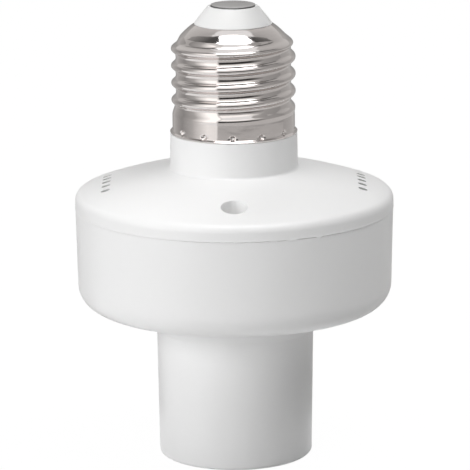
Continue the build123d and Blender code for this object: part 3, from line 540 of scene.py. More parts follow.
BARREL_ROOT_R = BARREL_R + CREASE_Z * math.tan(math.radians(BARREL_DRAFT_DEG))
print("barrel", round(2 * BARREL_R, 2), "mm across, tub floor", round(2 * TUB_LOW_R, 2), "mm across")

# %% Turn the lower housing
housing = lathe("housing_moulding", [
    (MOUTH_R, 0, MOUTH_ROUND),
    (BARREL_R, 0, FOOT_ROUND),
    (BARREL_ROOT_R, CREASE_Z, CREASE_ROUND),
    (BARREL_ROOT_R + ROOT_FLARE, FLOOR_Z, ROOT_ROUND),
    (TUB_LOW_R, FLOOR_Z, TUB_ROUND),
    (TUB_R, SEAM_Z - SEAM_SLIT, SEAM_ROUND),
    (TUB_R - SEAM_REACH, SEAM_Z - SEAM_SLIT),
    (TUB_R - SEAM_REACH, SEAM_Z),
    (TUB_R - WALL, SEAM_Z),
    (TUB_R - WALL, SEAM_Z - REBATE_DEPTH),
    (TUB_R - WALL - REBATE_STEP, SEAM_Z - REBATE_DEPTH),
    (TUB_LOW_R - WALL - REBATE_STEP, FLOOR_TOP_Z, TUB_IN_ROUND),
    (HOLDER_BORE_R, FLOOR_TOP_Z),
    (HOLDER_BORE_R, WEB_TOP_Z),
    (0, WEB_TOP_Z),
    (0, WEB_LOW_Z),
    (HOLDER_BORE_R, WEB_LOW_Z),
    (HOLDER_BORE_R, MOUTH_DEPTH, SHELF_ROUND),
    (MOUTH_R, MOUTH_DEPTH, 2 * SHELF_ROUND),
])
housing.data.materials.append(white_plastic)
print("housing faces:", len(housing.data.polygons))

# %% [markdown]
# ## The vents
# Two short rows of slots let warm air out of the case. One slot is drawn as a rounded rectangle and
# pushed through the dome. Two Array modifiers could repeat it. In Geometry Nodes a grid of two by five
# points is already the pattern, so Instance on Points needs no sums of its own. The result is only a
# cutting tool, and its grey, which is painted shade, stays on the walls that it cuts.

# %% Vent cutters, made with Geometry Nodes
VENT_COUNT = 5
VENT_PITCH = 3.5
VENT_INSET = 6.6
VENT_ROW_X = TUB_R - VENT_INSET
VENT_LENGTH = 1.9
VENT_WIDTH = 1.35
VENT_CUT = 12
VENT_END_ROUND = 0.495
WELD = 1e-6


def vent_tree():
    """Geometry tree: a grid of upright rounded slots."""
    tree, source, sink = new_tree(
        "vent_cutters",
        "GeometryNodeTree",
        [("Row Distance", "Float"), ("Row Length", "Float"), ("Count", "Int"), ("Slot Length", "Float"),
         ("Slot Width", "Float"), ("Low", "Float"), ("Depth", "Float"), ("Material", "Material")],
        [("Geometry", "Geometry")],
    )
    given = source.outputs
    grid = add_node(tree, "GeometryNodeMeshGrid", {
        "Size X": given["Row Distance"],
        "Size Y": given["Row Length"],
        "Vertices X": 2,
        "Vertices Y": given["Count"],
    })
    frame_curve = add_node(tree, "GeometryNodeCurvePrimitiveQuadrilateral", {
        "Width": given["Slot Length"],
        "Height": given["Slot Width"],
    })
    corner = Field(given["Slot Width"]) * VENT_END_ROUND
    ends = {"Curve": frame_curve.outputs[0], "Radius": corner, "Count": 7}
    soft = add_node(tree, "GeometryNodeFilletCurve", ends, mode="POLY")
    lid = add_node(tree, "GeometryNodeFillCurve", {"Curve": soft.outputs[0]}, mode="NGONS")
    push = add_node(tree, "GeometryNodeExtrudeMesh", {
        "Mesh": lid.outputs[0],
        "Offset": add_node(tree, "ShaderNodeCombineXYZ", {"Z": 1.0}).outputs[0],
        "Offset Scale": given["Depth"],
        "Individual": False,
    })
    foot = add_node(tree, "GeometryNodeFlipFaces", {"Mesh": lid.outputs[0]})
    both = add_node(tree, "GeometryNodeJoinGeometry", {"Geometry": push.outputs[0]})
    tree.links.new(foot.outputs[0], both.inputs[0])
    slot = add_node(tree, "GeometryNodeMergeByDistance", {"Geometry": both.outputs[0], "Distance": WELD})
    copies = add_node(tree, "GeometryNodeInstanceOnPoints", {
        "Points": grid.outputs[0],
        "Instance": slot.outputs[0],
    })
    lift = add_node(tree, "ShaderNodeCombineXYZ", {"Z": given["Low"]})
    raised = add_node(tree, "GeometryNodeTranslateInstances", {
        "Instances": copies.outputs[0],
        "Translation": lift.outputs[0],
    })
    end_tree(tree, raised, given["Material"], sink)
    return tree


VENTS = vent_tree()
print("nodes in the vents' tree:", len(VENTS.nodes))

# %% Grow the vent cutters
vent_cutters = grown("vent_cutters", VENTS, {
    "Row Distance": 2 * VENT_ROW_X * MM,
    "Row Length": (VENT_COUNT - 1) * VENT_PITCH * MM,
    "Count": VENT_COUNT,
    "Slot Length": VENT_LENGTH * MM,
    "Slot Width": VENT_WIDTH * MM,
    "Low": SEAM_Z * MM,
    "Depth": VENT_CUT * MM,
    "Material": vent_dust,
})
print("vent cutter faces:", len(vent_cutters.data.polygons))

# %% [markdown]
# ## The cover
# The cover is a low dome that rolls over into a short side wall, with the neck of the screw cap
# standing on it. It could be shaped from a sphere, but an outline gives the exact heights, so it is
# turned like the housing. The dome is one large arc that leaves the edge round at 20 degrees, so the
# two meet without a kink. The skirt ends in a thin lip, which draws the light line above the seam.

# %% Sizes of the cover
COVER_SIDE = 1.7
EDGE_ROUND = 1.93
DOME_EDGE_DEG = 20.0
DOME_RISE = 5.0
NECK_WALL = 2.1
NECK_ROUND = 0.1
NECK_FILLET = 0.6
PLUG_CLEARANCE = 0.07
PLUG_WALL = 1.5
BORE_STEP = 1
TONGUE_CLEARANCE = 0.08
TONGUE_WALL = 1.25
TONGUE_HEIGHT = 2.65
SKIRT_LIP = 0.05
SKIRT_LIP_HEIGHT = 0.36
SKIRT_RING = 1.3
COVER_AROUND = 540
NECK_BORE_R = NECK_TOP_R - NECK_WALL
BORE_STEP_Z = NECK_TOP_Z - BORE_STEP
BAND_TOP_Z = NECK_TOP_Z + CAP_BAND_HEIGHT
PLUG_BAND_R = CAP_BAND_R - CAP_SHEET - PLUG_CLEARANCE
PLUG_R = THREAD_CREST_R - THREAD_DEPTH - CAP_SHEET - 2 * PLUG_CLEARANCE
PLUG_BORE_R = PLUG_R - PLUG_WALL
TONGUE_R = TUB_R - WALL - TONGUE_CLEARANCE
TONGUE_IN_R = TONGUE_R - TONGUE_WALL
TONGUE_LOW_Z = SEAM_Z - TONGUE_HEIGHT
print("neck", round(2 * NECK_TOP_R, 2), "mm across, its bore", round(2 * NECK_BORE_R, 2), "mm across")

# %% The dome's arc
edge_turn = math.radians(90 - DOME_EDGE_DEG)
edge_centre = (COVER_R - EDGE_ROUND, SEAM_Z + COVER_SIDE)
edge = Vector(arc(edge_centre, EDGE_ROUND, 0, edge_turn)[-1])
dome_span = edge.x - NECK_BASE_R
dome_turn = math.radians(DOME_EDGE_DEG) - math.atan2(DOME_RISE, dome_span)
dome_r = math.hypot(DOME_RISE, dome_span) / (2 * math.sin(dome_turn))
dome_centre = edge - dome_r * Vector((math.cos(edge_turn), math.sin(edge_turn)))
dome_top_z = edge.y + DOME_RISE


def dome_height(radius, drop=0.0):
    """Height of the dome, or of its inside, at a radius."""
    return dome_centre.y + math.sqrt((dome_r - drop) ** 2 - (radius - dome_centre.x) ** 2)


def dome_run(start, end, drop=0.0, steps=24):
    """Points along the dome from one radius to another."""
    radii = [start + (end - start) * step / steps for step in range(steps + 1)]
    return [(radius, dome_height(radius, drop)) for radius in radii]


print("radius of the dome's arc:", round(dome_r, 1), "mm")

# %% Turn the cover
DOME_START = 0.4
cover = lathe("cover_moulding", [
    (TONGUE_R, SEAM_Z),
    (COVER_R + SKIRT_LIP, SEAM_Z, SEAM_ROUND),
    (COVER_R + SKIRT_LIP, SEAM_Z + SKIRT_LIP_HEIGHT / 2),
    (COVER_R, SEAM_Z + SKIRT_LIP_HEIGHT),
    (COVER_R, SEAM_Z + SKIRT_LIP_HEIGHT * SKIRT_RING),
    *arc(edge_centre, EDGE_ROUND, 0, edge_turn),
    *dome_run(edge.x - DOME_START, NECK_BASE_R + 3 * NECK_FILLET),
    (NECK_BASE_R, dome_top_z, NECK_FILLET),
    (NECK_TOP_R, NECK_TOP_Z, NECK_ROUND),
    (PLUG_BAND_R, NECK_TOP_Z),
    (PLUG_BAND_R, BAND_TOP_Z),
    (PLUG_R, BAND_TOP_Z),
    (PLUG_R, PLUG_TOP_Z),
    (PLUG_BORE_R, PLUG_TOP_Z),
    (PLUG_BORE_R, BORE_STEP_Z),
    (NECK_BORE_R, BORE_STEP_Z),
    *dome_run(NECK_BORE_R, TONGUE_IN_R, WALL),
    (TONGUE_IN_R, TONGUE_LOW_Z),
    (TONGUE_R, TONGUE_LOW_Z),
], around=COVER_AROUND)
cover.data.materials.append(white_plastic)
print("cover faces:", len(cover.data.polygons), "dome top at", round(dome_top_z, 2))

# %% [markdown]
# ## Flash along the skirt
# Plastic creeps out where the halves of a mould meet and leaves a ragged burr, here to the right of
# the button. A bump texture could fake it, but only real points change the edge against the tub
# and the line under it. So the skirt's lowest points are moved by noise, most of all near that spot.

# %% Flash
FLASH_TURN_DEG = -66.0
FLASH_SPREAD_DEG = 24.0
FLASH_SIZE = 1.1
FLASH_BITE = 34.0
FLASH_FINER = 2.7
FLASH_COARSE_SHARE = 0.75
FLASH_FINE_SHARE = 0.4
FLASH_DIP = -0.1
FLASH_ELSEWHERE = 0.06
FLASH_OUTWARD = 0.4
SKIRT_BAND = 0.3
for vertex in cover.data.vertices:
    radius = math.hypot(vertex.co.x, vertex.co.y) / MM
    nearness = 1 - abs(vertex.co.z / MM - SEAM_Z) / SKIRT_LIP_HEIGHT
    if radius > COVER_R - SKIRT_BAND and nearness > 0:
        turn = math.atan2(vertex.co.y, vertex.co.x)
        spread = (math.degrees(turn) - FLASH_TURN_DEG) / FLASH_SPREAD_DEG
        along = Vector((math.cos(turn), math.sin(turn), 0))
        ragged = noise.noise(along * FLASH_BITE) * FLASH_COARSE_SHARE
        ragged += noise.noise(along * FLASH_BITE * FLASH_FINER) * FLASH_FINE_SHARE
        size = FLASH_SIZE * nearness * (FLASH_ELSEWHERE + math.exp(-spread * spread))
        vertex.co += along * max(ragged, FLASH_DIP) * size * MM * FLASH_OUTWARD
        vertex.co.z -= max(ragged, 0) * size * MM
skirt = [vertex.co.z / MM for vertex in cover.data.vertices if vertex.co.xy.length / MM > COVER_R]
print("flash hangs down by up to", round(SEAM_Z - min(skirt), 2), "mm")

# %% [markdown]
# ## Openings in the cover
# The button's guide is a tube under the dome, and the hole runs through both. The tube is joined on,
# and the hole and the vents are cut, all with exact booleans: modelling the crossings by hand would
# take long and break whenever a size changes. Then the hole's edge gets a small bevel, because a
# moulded edge is never a knife edge. The edges of the slots are too small for one.

# %% Hole, guide and vents in the cover
BUTTON_HOLE_R = 2.75
GUIDE_R = 4.15
GUIDE_LENGTH = 9.1
GUIDE_ROUND = 0.3
GUIDE_AROUND = 96
CUT_PAST = 1
hole_z = dome_height(-BUTTON_Y)
guide_low_z = hole_z - GUIDE_LENGTH
hole_top_z = hole_z + WALL
guide_outline = [(0, guide_low_z), (GUIDE_R, guide_low_z, GUIDE_ROUND), (GUIDE_R, hole_z), (0, hole_z)]
guide = lathe("guide", guide_outline, at=(0, BUTTON_Y), around=GUIDE_AROUND)
for vertex in guide.data.vertices:
    roof = dome_height(math.hypot(vertex.co.x, vertex.co.y) / MM, WALL / 2) * MM
    below_top = vertex.co.z < hole_z * MM - WELD
    vertex.co.z = min(vertex.co.z, roof) if below_top else roof
guide.data.materials.append(white_plastic)
carve(cover, guide, "UNION")
bore_low_z = guide_low_z - CUT_PAST
bore_outline = [(0, bore_low_z), (BUTTON_HOLE_R, bore_low_z), (BUTTON_HOLE_R, hole_top_z), (0, hole_top_z)]
bore = lathe("bore", bore_outline, at=(0, BUTTON_Y), around=GUIDE_AROUND)
bore.data.materials.append(white_plastic)
carve(cover, bore)
carve(cover, vent_cutters)
print("cover finishes:", [material.name for material in cover.data.materials])

# %% Bevel on the hole's edge
HOLE_BEVEL = 0.16
NEAR_HOLE = 0.1
NEAR_DOME = 0.03
SHARP_DEG = 40


def bevel_hole_edge(piece, width):
    """Bevel the sharp edge of the button's hole where it meets the dome."""
    draft = bmesh.new()
    draft.from_mesh(piece.data)
    rims = []
    for rim in draft.edges:
        middle = (rim.verts[0].co + rim.verts[1].co) / 2 / MM
        near_hole = math.hypot(middle.x, middle.y - BUTTON_Y) < BUTTON_HOLE_R + NEAR_HOLE
        on_dome = near_hole and abs(middle.z - dome_height(math.hypot(middle.x, middle.y))) < NEAR_DOME
        if on_dome and rim.is_manifold and rim.calc_face_angle() > math.radians(SHARP_DEG):
            rims.append(rim)
    bmesh.ops.bevel(
        draft,
        geom=rims,
        offset=width * MM,
        segments=3,
        profile=0.5,
        affect="EDGES",
        clamp_overlap=True,
    )
    draft.to_mesh(piece.data)
    draft.free()
    return len(rims)


print("hole edges bevelled:", bevel_hole_edge(cover, HOLE_BEVEL))
shade(cover)

# %% [markdown]
# ## The screw cap
# The cap is thin nickel-plated sheet. Its thread is rolled, so it is a soft wave, a little flattened
# at roots and crests, that climbs one pitch for each turn. It fades out into a plain band below and a
# round shoulder above, which turns in sharply at the mouth. The band ends in a flared rim, and a row
# of punched dents stakes the cap to the neck. A profile swept along a helix would leave all those
# ends to be joined by hand. One rule for the radius at each angle and height covers them, and
# Geometry Nodes are good at rules: a flat grid is wrapped round the axis by Set Position. Its columns
# are drawn together near the dents, so small marks get a fine mesh and the rest stays light. A trace
# of noise makes the sheet uneven, so that the streaks in it waver as they do in real sheet.

# %% Inputs and a helper for the rolled thread
DENT_COUNT = 13
DENT_TURN_DEG = -91.0
COLUMNS_PER_DENT = 20
COLUMN_PULL = 0.8
FINE_SHARE = 0.2
MOUTH_POWER = 8.0
FADE_SHARE = 0.5
TUCK_SHARE = 0.3
WAVE_SCALE = 190.0
WAVE_RISE = 1.6
THREAD_NUMBERS = (
    "Crest Radius", "Depth", "Pitch", "Crest Height", "Crest Power", "Flatness",
    "Band Radius", "Mouth Radius", "Bulge", "Lip", "Waviness", "Low", "Fine Height",
    "Thread Low", "Thread Rise", "Thread High", "High", "Rim Flare", "Rim Edge", "Rim Rise",
    "Dent Turn", "Dent Height", "Dent Radius", "Dent Depth", "Column Pull",
)


def round_the_axis(tree, radius, angle, z):
    """A place in space from a radius, an angle and a height."""
    place = add_node(tree, "ShaderNodeCombineXYZ")
    for entry, value in zip(place.inputs, (radius * angle.math("COSINE"), radius * angle.math("SINE"), z)):
        connect(value, entry)
    return place.outputs[0]


print("sizes that the thread's tree asks for:", len(THREAD_NUMBERS))


# %% The tree of the rolled thread
def thread_tree():
    """Geometry tree: a sheet with a rolled thread, a rim and staking dents."""
    inputs = [(label, "Float") for label in THREAD_NUMBERS]
    inputs += [("Dents", "Int"), ("Columns", "Int"), ("Rows", "Int"), ("Material", "Material")]
    tree, source, sink = new_tree("rolled_thread", "GeometryNodeTree", inputs, [("Geometry", "Geometry")])
    given = {socket.name: Field(socket) for socket in source.outputs if socket.name}
    grid = add_node(tree, "GeometryNodeMeshGrid", {
        "Size X": 1.0,
        "Size Y": 1.0,
        "Vertices X": given["Columns"],
        "Vertices Y": given["Rows"],
    })
    position = add_node(tree, "GeometryNodeInputPosition").outputs[0]
    flat = add_node(tree, "ShaderNodeSeparateXYZ", {0: position})
    along = Field(flat.outputs[0]) + 0.5
    up = Field(flat.outputs[1]) + 0.5
    dents = given["Dents"]
    pull = (along * dents * TAU).math("SINE") * given["Column Pull"] / dents
    turn = along * TAU - pull
    fine = (up / FINE_SHARE).math("MINIMUM", 1.0) * given["Fine Height"]
    coarse = ((up - FINE_SHARE) / (1 - FINE_SHARE)).math("MAXIMUM", 0.0)
    z = given["Low"] + fine + coarse * (given["High"] - given["Low"] - given["Fine Height"])
    angle = turn + given["Dent Turn"]
    start = z.smooth(given["Thread Low"], given["Thread Low"] + given["Thread Rise"])
    over = ((z - given["Thread High"]) / (given["High"] - given["Thread High"])).math("MAXIMUM", 0.0)
    phase = angle - (z - given["Crest Height"]) / given["Pitch"] * TAU
    wave = (phase.math("COSINE") * 0.5 + 0.5) ** given["Crest Power"]
    swell = wave + (wave.smooth(0.0, 1.0) - wave) * given["Flatness"]
    mean = given["Crest Radius"] - given["Depth"] / 2
    band = given["Band Radius"]
    inward = over ** given["Bulge"] * (1 - given["Lip"]) + over ** MOUTH_POWER * given["Lip"]
    plain = band + (mean - band) * start - (mean - given["Mouth Radius"]) * inward
    rolled = plain + (swell - 0.5) * given["Depth"] * start * (1 - over.smooth(0.0, FADE_SHARE))
    flare = 1 - z.smooth(given["Low"] + given["Rim Edge"], given["Low"] + given["Rim Rise"])
    tuck = 1 - z.smooth(given["Low"], given["Low"] + given["Rim Edge"])
    rimmed = rolled + given["Rim Flare"] * (flare - TUCK_SHARE * tuck)
    cell = turn / TAU * dents
    across = (cell - cell.math("ROUND")) / dents * TAU * band
    away = z - given["Dent Height"]
    reach = (across * across + away * away) / (given["Dent Radius"] * given["Dent Radius"])
    punched = rimmed - given["Dent Depth"] * (1 - reach).math("MAXIMUM", 0.0)
    unevenness = noise_node(tree, round_the_axis(tree, band, angle, z * WAVE_RISE), WAVE_SCALE, 2.0) - 0.5
    wavy = punched + unevenness * given["Waviness"]
    wrapped = add_node(tree, "GeometryNodeSetPosition", {
        "Geometry": grid.outputs[0],
        "Position": round_the_axis(tree, wavy, angle, z),
    })
    closed = add_node(tree, "GeometryNodeMergeByDistance", {
        "Geometry": wrapped.outputs[0],
        "Distance": WELD,
    })
    end_tree(tree, closed, given["Material"].socket, sink)
    return tree


THREAD = thread_tree()
print("nodes in the thread's tree:", len(THREAD.nodes))

# %% Screw cap, by the tree
CAP_CREST_RISE = 16.05
CAP_THREAD_OVERLAP = 0.45
CAP_SHOULDER = 4.35
DENT_RISE = 1.1
SHEET_CREASE_DEG = 50


def in_metres(lengths):
    """The same named lengths in metres."""
    return {label: value * MM for label, value in lengths.items()}


def thicken(piece, sheet, side):
    """Give a sheet its thickness, inwards for side -1 and outwards for side 1."""
    wall = piece.modifiers.new("sheet", "SOLIDIFY")
    wall.thickness = sheet * MM
    wall.offset = side
    return shade(settle(piece), SHEET_CREASE_DEG)


cap_lengths = {
    "Crest Radius": THREAD_CREST_R,
    "Depth": THREAD_DEPTH,
    "Pitch": THREAD_PITCH,
    "Crest Height": NECK_TOP_Z + CAP_CREST_RISE,
    "Band Radius": CAP_BAND_R,
    "Mouth Radius": CAP_MOUTH_R,
    "Low": NECK_TOP_Z,
    "Fine Height": 2.3,
    "Thread Low": BAND_TOP_Z - CAP_THREAD_OVERLAP,
    "Thread Rise": 3.4,
    "Thread High": CAP_TOP_Z - CAP_SHOULDER,
    "High": CAP_TOP_Z,
    "Rim Flare": CAP_RIM_R - CAP_BAND_R,
    "Rim Edge": 0.28,
    "Rim Rise": 0.66,
    "Dent Height": NECK_TOP_Z + DENT_RISE,
    "Dent Radius": 0.6,
    "Dent Depth": 0.46,
    "Waviness": 0.05,
}
cap_form = {
    "Bulge": 1.18,
    "Lip": 0.09,
    "Crest Power": 1.35,
    "Flatness": 0.55,
    "Dent Turn": math.radians(DENT_TURN_DEG),
    "Column Pull": COLUMN_PULL,
    "Dents": DENT_COUNT,
    "Columns": DENT_COUNT * COLUMNS_PER_DENT + 1,
    "Rows": 160,
    "Material": nickel,
}
cap = thicken(grown("screw_cap_sheet", THREAD, in_metres(cap_lengths) | cap_form), CAP_SHEET, -1)
print("cap faces:", len(cap.data.polygons))

# %% [markdown]
# ## The lamp holder's sleeve
# A threaded metal sleeve inside the barrel takes the lamp. It could be modelled afresh, but its thread
# is the cap's with a little room to turn. So the same tree makes it, with other sizes and with no rim
# and no dents, and the two threads are sure to match.

# %% Lamp holder's sleeve, by the same tree
SLEEVE_SHEET = 0.35
SLEEVE_PLAIN_STEP = 0.07
SLEEVE_LEAD = 0.8
SLEEVE_FADE = 2.6
SLEEVE_CREST_R = THREAD_CREST_R + THREAD_CLEARANCE
SLEEVE_PLAIN_R = SLEEVE_CREST_R - SLEEVE_PLAIN_STEP
sleeve_lengths = {
    "Crest Radius": SLEEVE_CREST_R,
    "Depth": THREAD_DEPTH,
    "Pitch": THREAD_PITCH,
    "Crest Height": 0.0,
    "Band Radius": SLEEVE_PLAIN_R,
    "Mouth Radius": SLEEVE_PLAIN_R,
    "Low": SLEEVE_LOW_Z,
    "Fine Height": 3.0,
    "Thread Low": SLEEVE_LOW_Z + SLEEVE_LEAD,
    "Thread Rise": THREAD_PITCH / 2,
    "Thread High": BASE_LOW_Z - SLEEVE_FADE,
    "High": WEB_LOW_Z - SLEEVE_SHEET,
    "Rim Flare": 0.0,
    "Rim Edge": 0.1,
    "Rim Rise": 0.2,
    "Dent Height": 0.0,
    "Dent Radius": 1.0,
    "Dent Depth": 0.0,
    "Waviness": 0.04,
}
sleeve_form = {
    "Bulge": 0.5,
    "Lip": 0.0,
    "Crest Power": 0.6,
    "Flatness": 0.0,
    "Dent Turn": 0.0,
    "Column Pull": 0.0,
    "Dents": 1,
    "Columns": 181,
    "Rows": 140,
    "Material": holder_metal,
}
sleeve = thicken(grown("lamp_sleeve", THREAD, in_metres(sleeve_lengths) | sleeve_form), SLEEVE_SHEET, 1)
print("sleeve faces:", len(sleeve.data.polygons))

# %% [markdown]
# ## Tip of the cap
# A white insulating cone closes the mouth of the cap, and a tinned contact disc is pressed into its
# end and stands a hair proud of it. Both are turned. A flat disc would show one flat grey, so it gets a
# slight crown and picks up a soft gradient. Its wall gets a dark grey that is painted shade, which draws
# a dark ring round the disc. That takes only a second material slot: the faces are sorted by which way they point.

# %% Insulator of the tip
TIP_LIP = 0.5
TIP_SEAT = 0.1
TIP_SEAT_DEPTH = 0.9
TIP_FOOT = 1.5
TIP_CLEARANCE = 0.1
TIP_OVERLAP = 0.16
TIP_OVERLAP_ROUND = 0.1
TIP_BELLY = 0.12
TIP_BELLY_ROUND = 6.0
TIP_LIP_DROP = 0.03
TIP_LIP_ROUND = 0.3
TIP_SEAT_DROP = 0.14
TIP_SEAT_ROUND = 0.05
seat_r = CONTACT_R + TIP_SEAT
foot_r = CAP_MOUTH_R - CAP_SHEET - TIP_CLEARANCE
tip = lathe("tip_insulator", [
    (seat_r, TIP_Z - TIP_SEAT_DEPTH),
    (0, TIP_Z - TIP_SEAT_DEPTH),
    (0, CAP_TOP_Z - TIP_FOOT),
    (foot_r, CAP_TOP_Z - TIP_FOOT),
    (foot_r, CAP_TOP_Z),
    (CAP_MOUTH_R + TIP_OVERLAP, CAP_TOP_Z, TIP_OVERLAP_ROUND),
    ((CAP_MOUTH_R + seat_r + TIP_LIP) / 2 + TIP_BELLY, (CAP_TOP_Z + TIP_Z) / 2, TIP_BELLY_ROUND),
    (seat_r + TIP_LIP, TIP_Z - TIP_LIP_DROP, TIP_LIP_ROUND),
    (seat_r, TIP_Z - TIP_SEAT_DROP, TIP_SEAT_ROUND),
], around=192)
tip.data.materials.append(white_insulator)
print("insulator faces:", len(tip.data.polygons))

# %% Contact of the tip
CROWN = 0.06
CROWN_STEPS = ((0.85, 0.3), (0.6, 0.68), (0.3, 0.92))
CONTACT_SINK = 0.88
CONTACT_PROUD = 0.18
CONTACT_ROUND = 0.06
UPRIGHT = 0.6
contact_foot_z = TIP_Z - CONTACT_SINK
contact_rim_z = TIP_Z + CONTACT_PROUD
contact = lathe("tip_contact", [
    (0, contact_foot_z),
    (CONTACT_R, contact_foot_z),
    (CONTACT_R, contact_rim_z, CONTACT_ROUND),
    *[(CONTACT_R * out, contact_rim_z + CROWN * rise) for out, rise in CROWN_STEPS],
    (0, contact_rim_z + CROWN),
], around=128)
contact.data.materials.append(tinned)
contact.data.materials.append(punched_edge)
# The upright faces take the dark grey of painted shade.
for face in contact.data.polygons:
    face.material_index = int(abs(face.normal.z) < UPRIGHT)
dark_faces = sum(face.material_index for face in contact.data.polygons)
print("contact faces:", len(contact.data.polygons), "of them on the punched edge:", dark_faces)

# %% [markdown]
# ## The push button
# The button sits deep in its guide, so that it isn't pressed by accident. The plain solid could stay,
# but a look straight into the hole would show its sharp edge. So it is turned as well: a key with a
# soft edge, a flange that keeps it in the case, and a stem that meets the switch.

# %% Push button
KEY_CLEARANCE = 0.1
KEY_ROUND = 0.4
DISH_SHARE = 0.7
DISH_EDGE = 0.05
DISH_DEPTH = 0.25
FLANGE_R = 3.6
FLANGE_GAP = 0.1
FLANGE_HEIGHT = 1
FLANGE_ROUND = 0.15
STEM_R = 1.6
KEY_R = BUTTON_HOLE_R - KEY_CLEARANCE
FLANGE_TOP_Z = guide_low_z - FLANGE_GAP
FLANGE_LOW_Z = FLANGE_TOP_Z - FLANGE_HEIGHT
button = lathe("push_button", [
    (0, BUTTON_LOW_Z),
    (STEM_R, BUTTON_LOW_Z),
    (STEM_R, FLANGE_LOW_Z),
    (FLANGE_R, FLANGE_LOW_Z, FLANGE_ROUND),
    (FLANGE_R, FLANGE_TOP_Z, FLANGE_ROUND),
    (KEY_R, FLANGE_TOP_Z),
    (KEY_R, BUTTON_TOP_Z, KEY_ROUND),
    (KEY_R * DISH_SHARE, BUTTON_TOP_Z - DISH_EDGE),
    (0, BUTTON_TOP_Z - DISH_DEPTH),
], at=(0, BUTTON_Y), around=GUIDE_AROUND)
button.data.materials.append(button_plastic)
print("button faces:", len(button.data.polygons), "sunk by", round(hole_z - BUTTON_TOP_Z, 2), "mm")

# %% [markdown]
# ## What stays as it was measured
# The board, its parts, the wires and the lamp holder's inner pieces have the right shape already.
# Modelling them again would change nothing that shows, so they only get a finish of their own. A
# short table gives each one its tone.

# %% Finishes for the solids that stay
steel = metal("steel", (0.6, 0.6, 0.6), gloss=0.3)
brass = metal("contact_brass", (0.8, 0.62, 0.32), gloss=0.25)
can = metal("component_can", (0.35, 0.35, 0.38), gloss=0.35)
tones = {
    "board_green": (0.05, 0.27, 0.12),
    "component_blue": (0.07, 0.19, 0.5),
    "component_yellow": (0.75, 0.55, 0.08),
    "component_black": (0.05, 0.05, 0.05),
    "component_grey": (0.35, 0.36, 0.34),
    "led_lens": (0.85, 0.85, 0.9),
    "wire_brown": (0.25, 0.12, 0.06),
    "wire_blue": (0.08, 0.18, 0.5),
}
finishes = {name: moulding(name, tone, mottle=0.15) for name, tone in tones.items()}
finishes |= {"steel": steel, "contact_brass": brass, "component_can": can, "holder_base": holder_base}
for row in frame["record"]["subparts"]:
    if row["material_slot"] in finishes:
        for entry in frame["nodes"][row["node"]].material_slots:
            entry.material = finishes[row["material_slot"]]
for node in ("switch_plunger", "tact_switch"):
    print(node, "wears", frame["nodes"][node].material_slots[0].material.name)

# %% [markdown]
# ## The spring behind the centre contact
# A lamp's tip pushes the centre contact up against a coil spring. A spring could be a Screw
# modifier on a small circle of wire. A spiral curve with a round profile is shorter in Geometry
# Nodes, and the inputs are the sizes a spring maker would ask for. Further down, the share of its length
# that the coil keeps when the contact moves is worked out, because a stiff copy would be left behind and cut
# through the contact.

# %% Contact spring, made with Geometry Nodes
SPRING_TURNS = 4
SPRING_WIRE_R = 0.22


def spring_tree():
    """Geometry tree: an upright coil of round wire."""
    tree, source, sink = new_tree(
        "coil_spring",
        "GeometryNodeTree",
        [("Turns", "Float"), ("Coil Radius", "Float"), ("Wire Radius", "Float"), ("Rise", "Float"),
         ("Low", "Float"), ("Material", "Material")],
        [("Geometry", "Geometry")],
    )
    given = source.outputs
    path = add_node(tree, "GeometryNodeCurveSpiral", {
        "Resolution": 40,
        "Rotations": given["Turns"],
        "Start Radius": given["Coil Radius"],
        "End Radius": given["Coil Radius"],
        "Height": given["Rise"],
    })
    wire = add_node(tree, "GeometryNodeCurvePrimitiveCircle", {
        "Resolution": 14,
        "Radius": given["Wire Radius"],
    })
    rod = add_node(tree, "GeometryNodeCurveToMesh", {
        "Curve": path.outputs[0],
        "Profile Curve": wire.outputs[0],
        "Fill Caps": True,
    })
    lift = add_node(tree, "ShaderNodeCombineXYZ", {"Z": given["Low"]})
    raised = add_node(tree, "GeometryNodeSetPosition", {
        "Geometry": rod.outputs[0],
        "Offset": lift.outputs[0],
    })
    end_tree(tree, raised, given["Material"], sink)
    return tree


SPRING = spring_tree()
print("nodes in the spring's tree:", len(SPRING.nodes))

# %% Grow the spring
spring_low, spring_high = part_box("contact_spring")
spring_length = spring_high.z - spring_low.z
wire_r = SPRING_WIRE_R * MM
spring = grown("contact_coil", SPRING, {
    "Turns": float(SPRING_TURNS),
    "Coil Radius": spring_high.x - wire_r,
    "Wire Radius": wire_r,
    "Rise": spring_length - 2 * wire_r,
    "Low": spring_low.z + wire_r,
    "Material": steel,
})
shade(spring)
print("spring faces:", len(spring.data.polygons), "length", round(spring_length / MM, 2))

# %% [markdown]
# ## Joining the frame
# Each new piece rides on the body that carries it and stands in for the solid it was built over. The
# slot names the finish in the part's record. Moving a piece with its body would be enough for all but
# the spring, whose upper end stays where it is. It would be squashed instead, and the share of its
# length that it keeps follows from the travel of the contact, so that share is worked out here.

# %% Ride and replace
for piece, body, node, slot in (
    (housing, "housing", "lower_housing", "white_plastic"),
    (cover, "housing", "upper_cover", "white_plastic"),
    (cap, "housing", "cap_shell", "nickel"),
    (tip, "housing", "cap_insulator", "white_insulator"),
    (contact, "housing", "cap_contact", "nickel"),
    (sleeve, "housing", "lampholder_shell", "holder_metal"),
    (button, "button", "pairing_button", "button_plastic"),
    (spring, "housing", "contact_spring", "steel"),
):
    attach(piece, body)
    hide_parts(node)
    print(piece.name, "stands for", node)

contact_press = next(joint for joint in frame["joints"] if joint["name"] == "contact_press")
pressed_share = 1 - contact_press["range_m"][1] / spring_length
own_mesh(spring)
print("spring keeps", round(pressed_share, 3), "of its length")

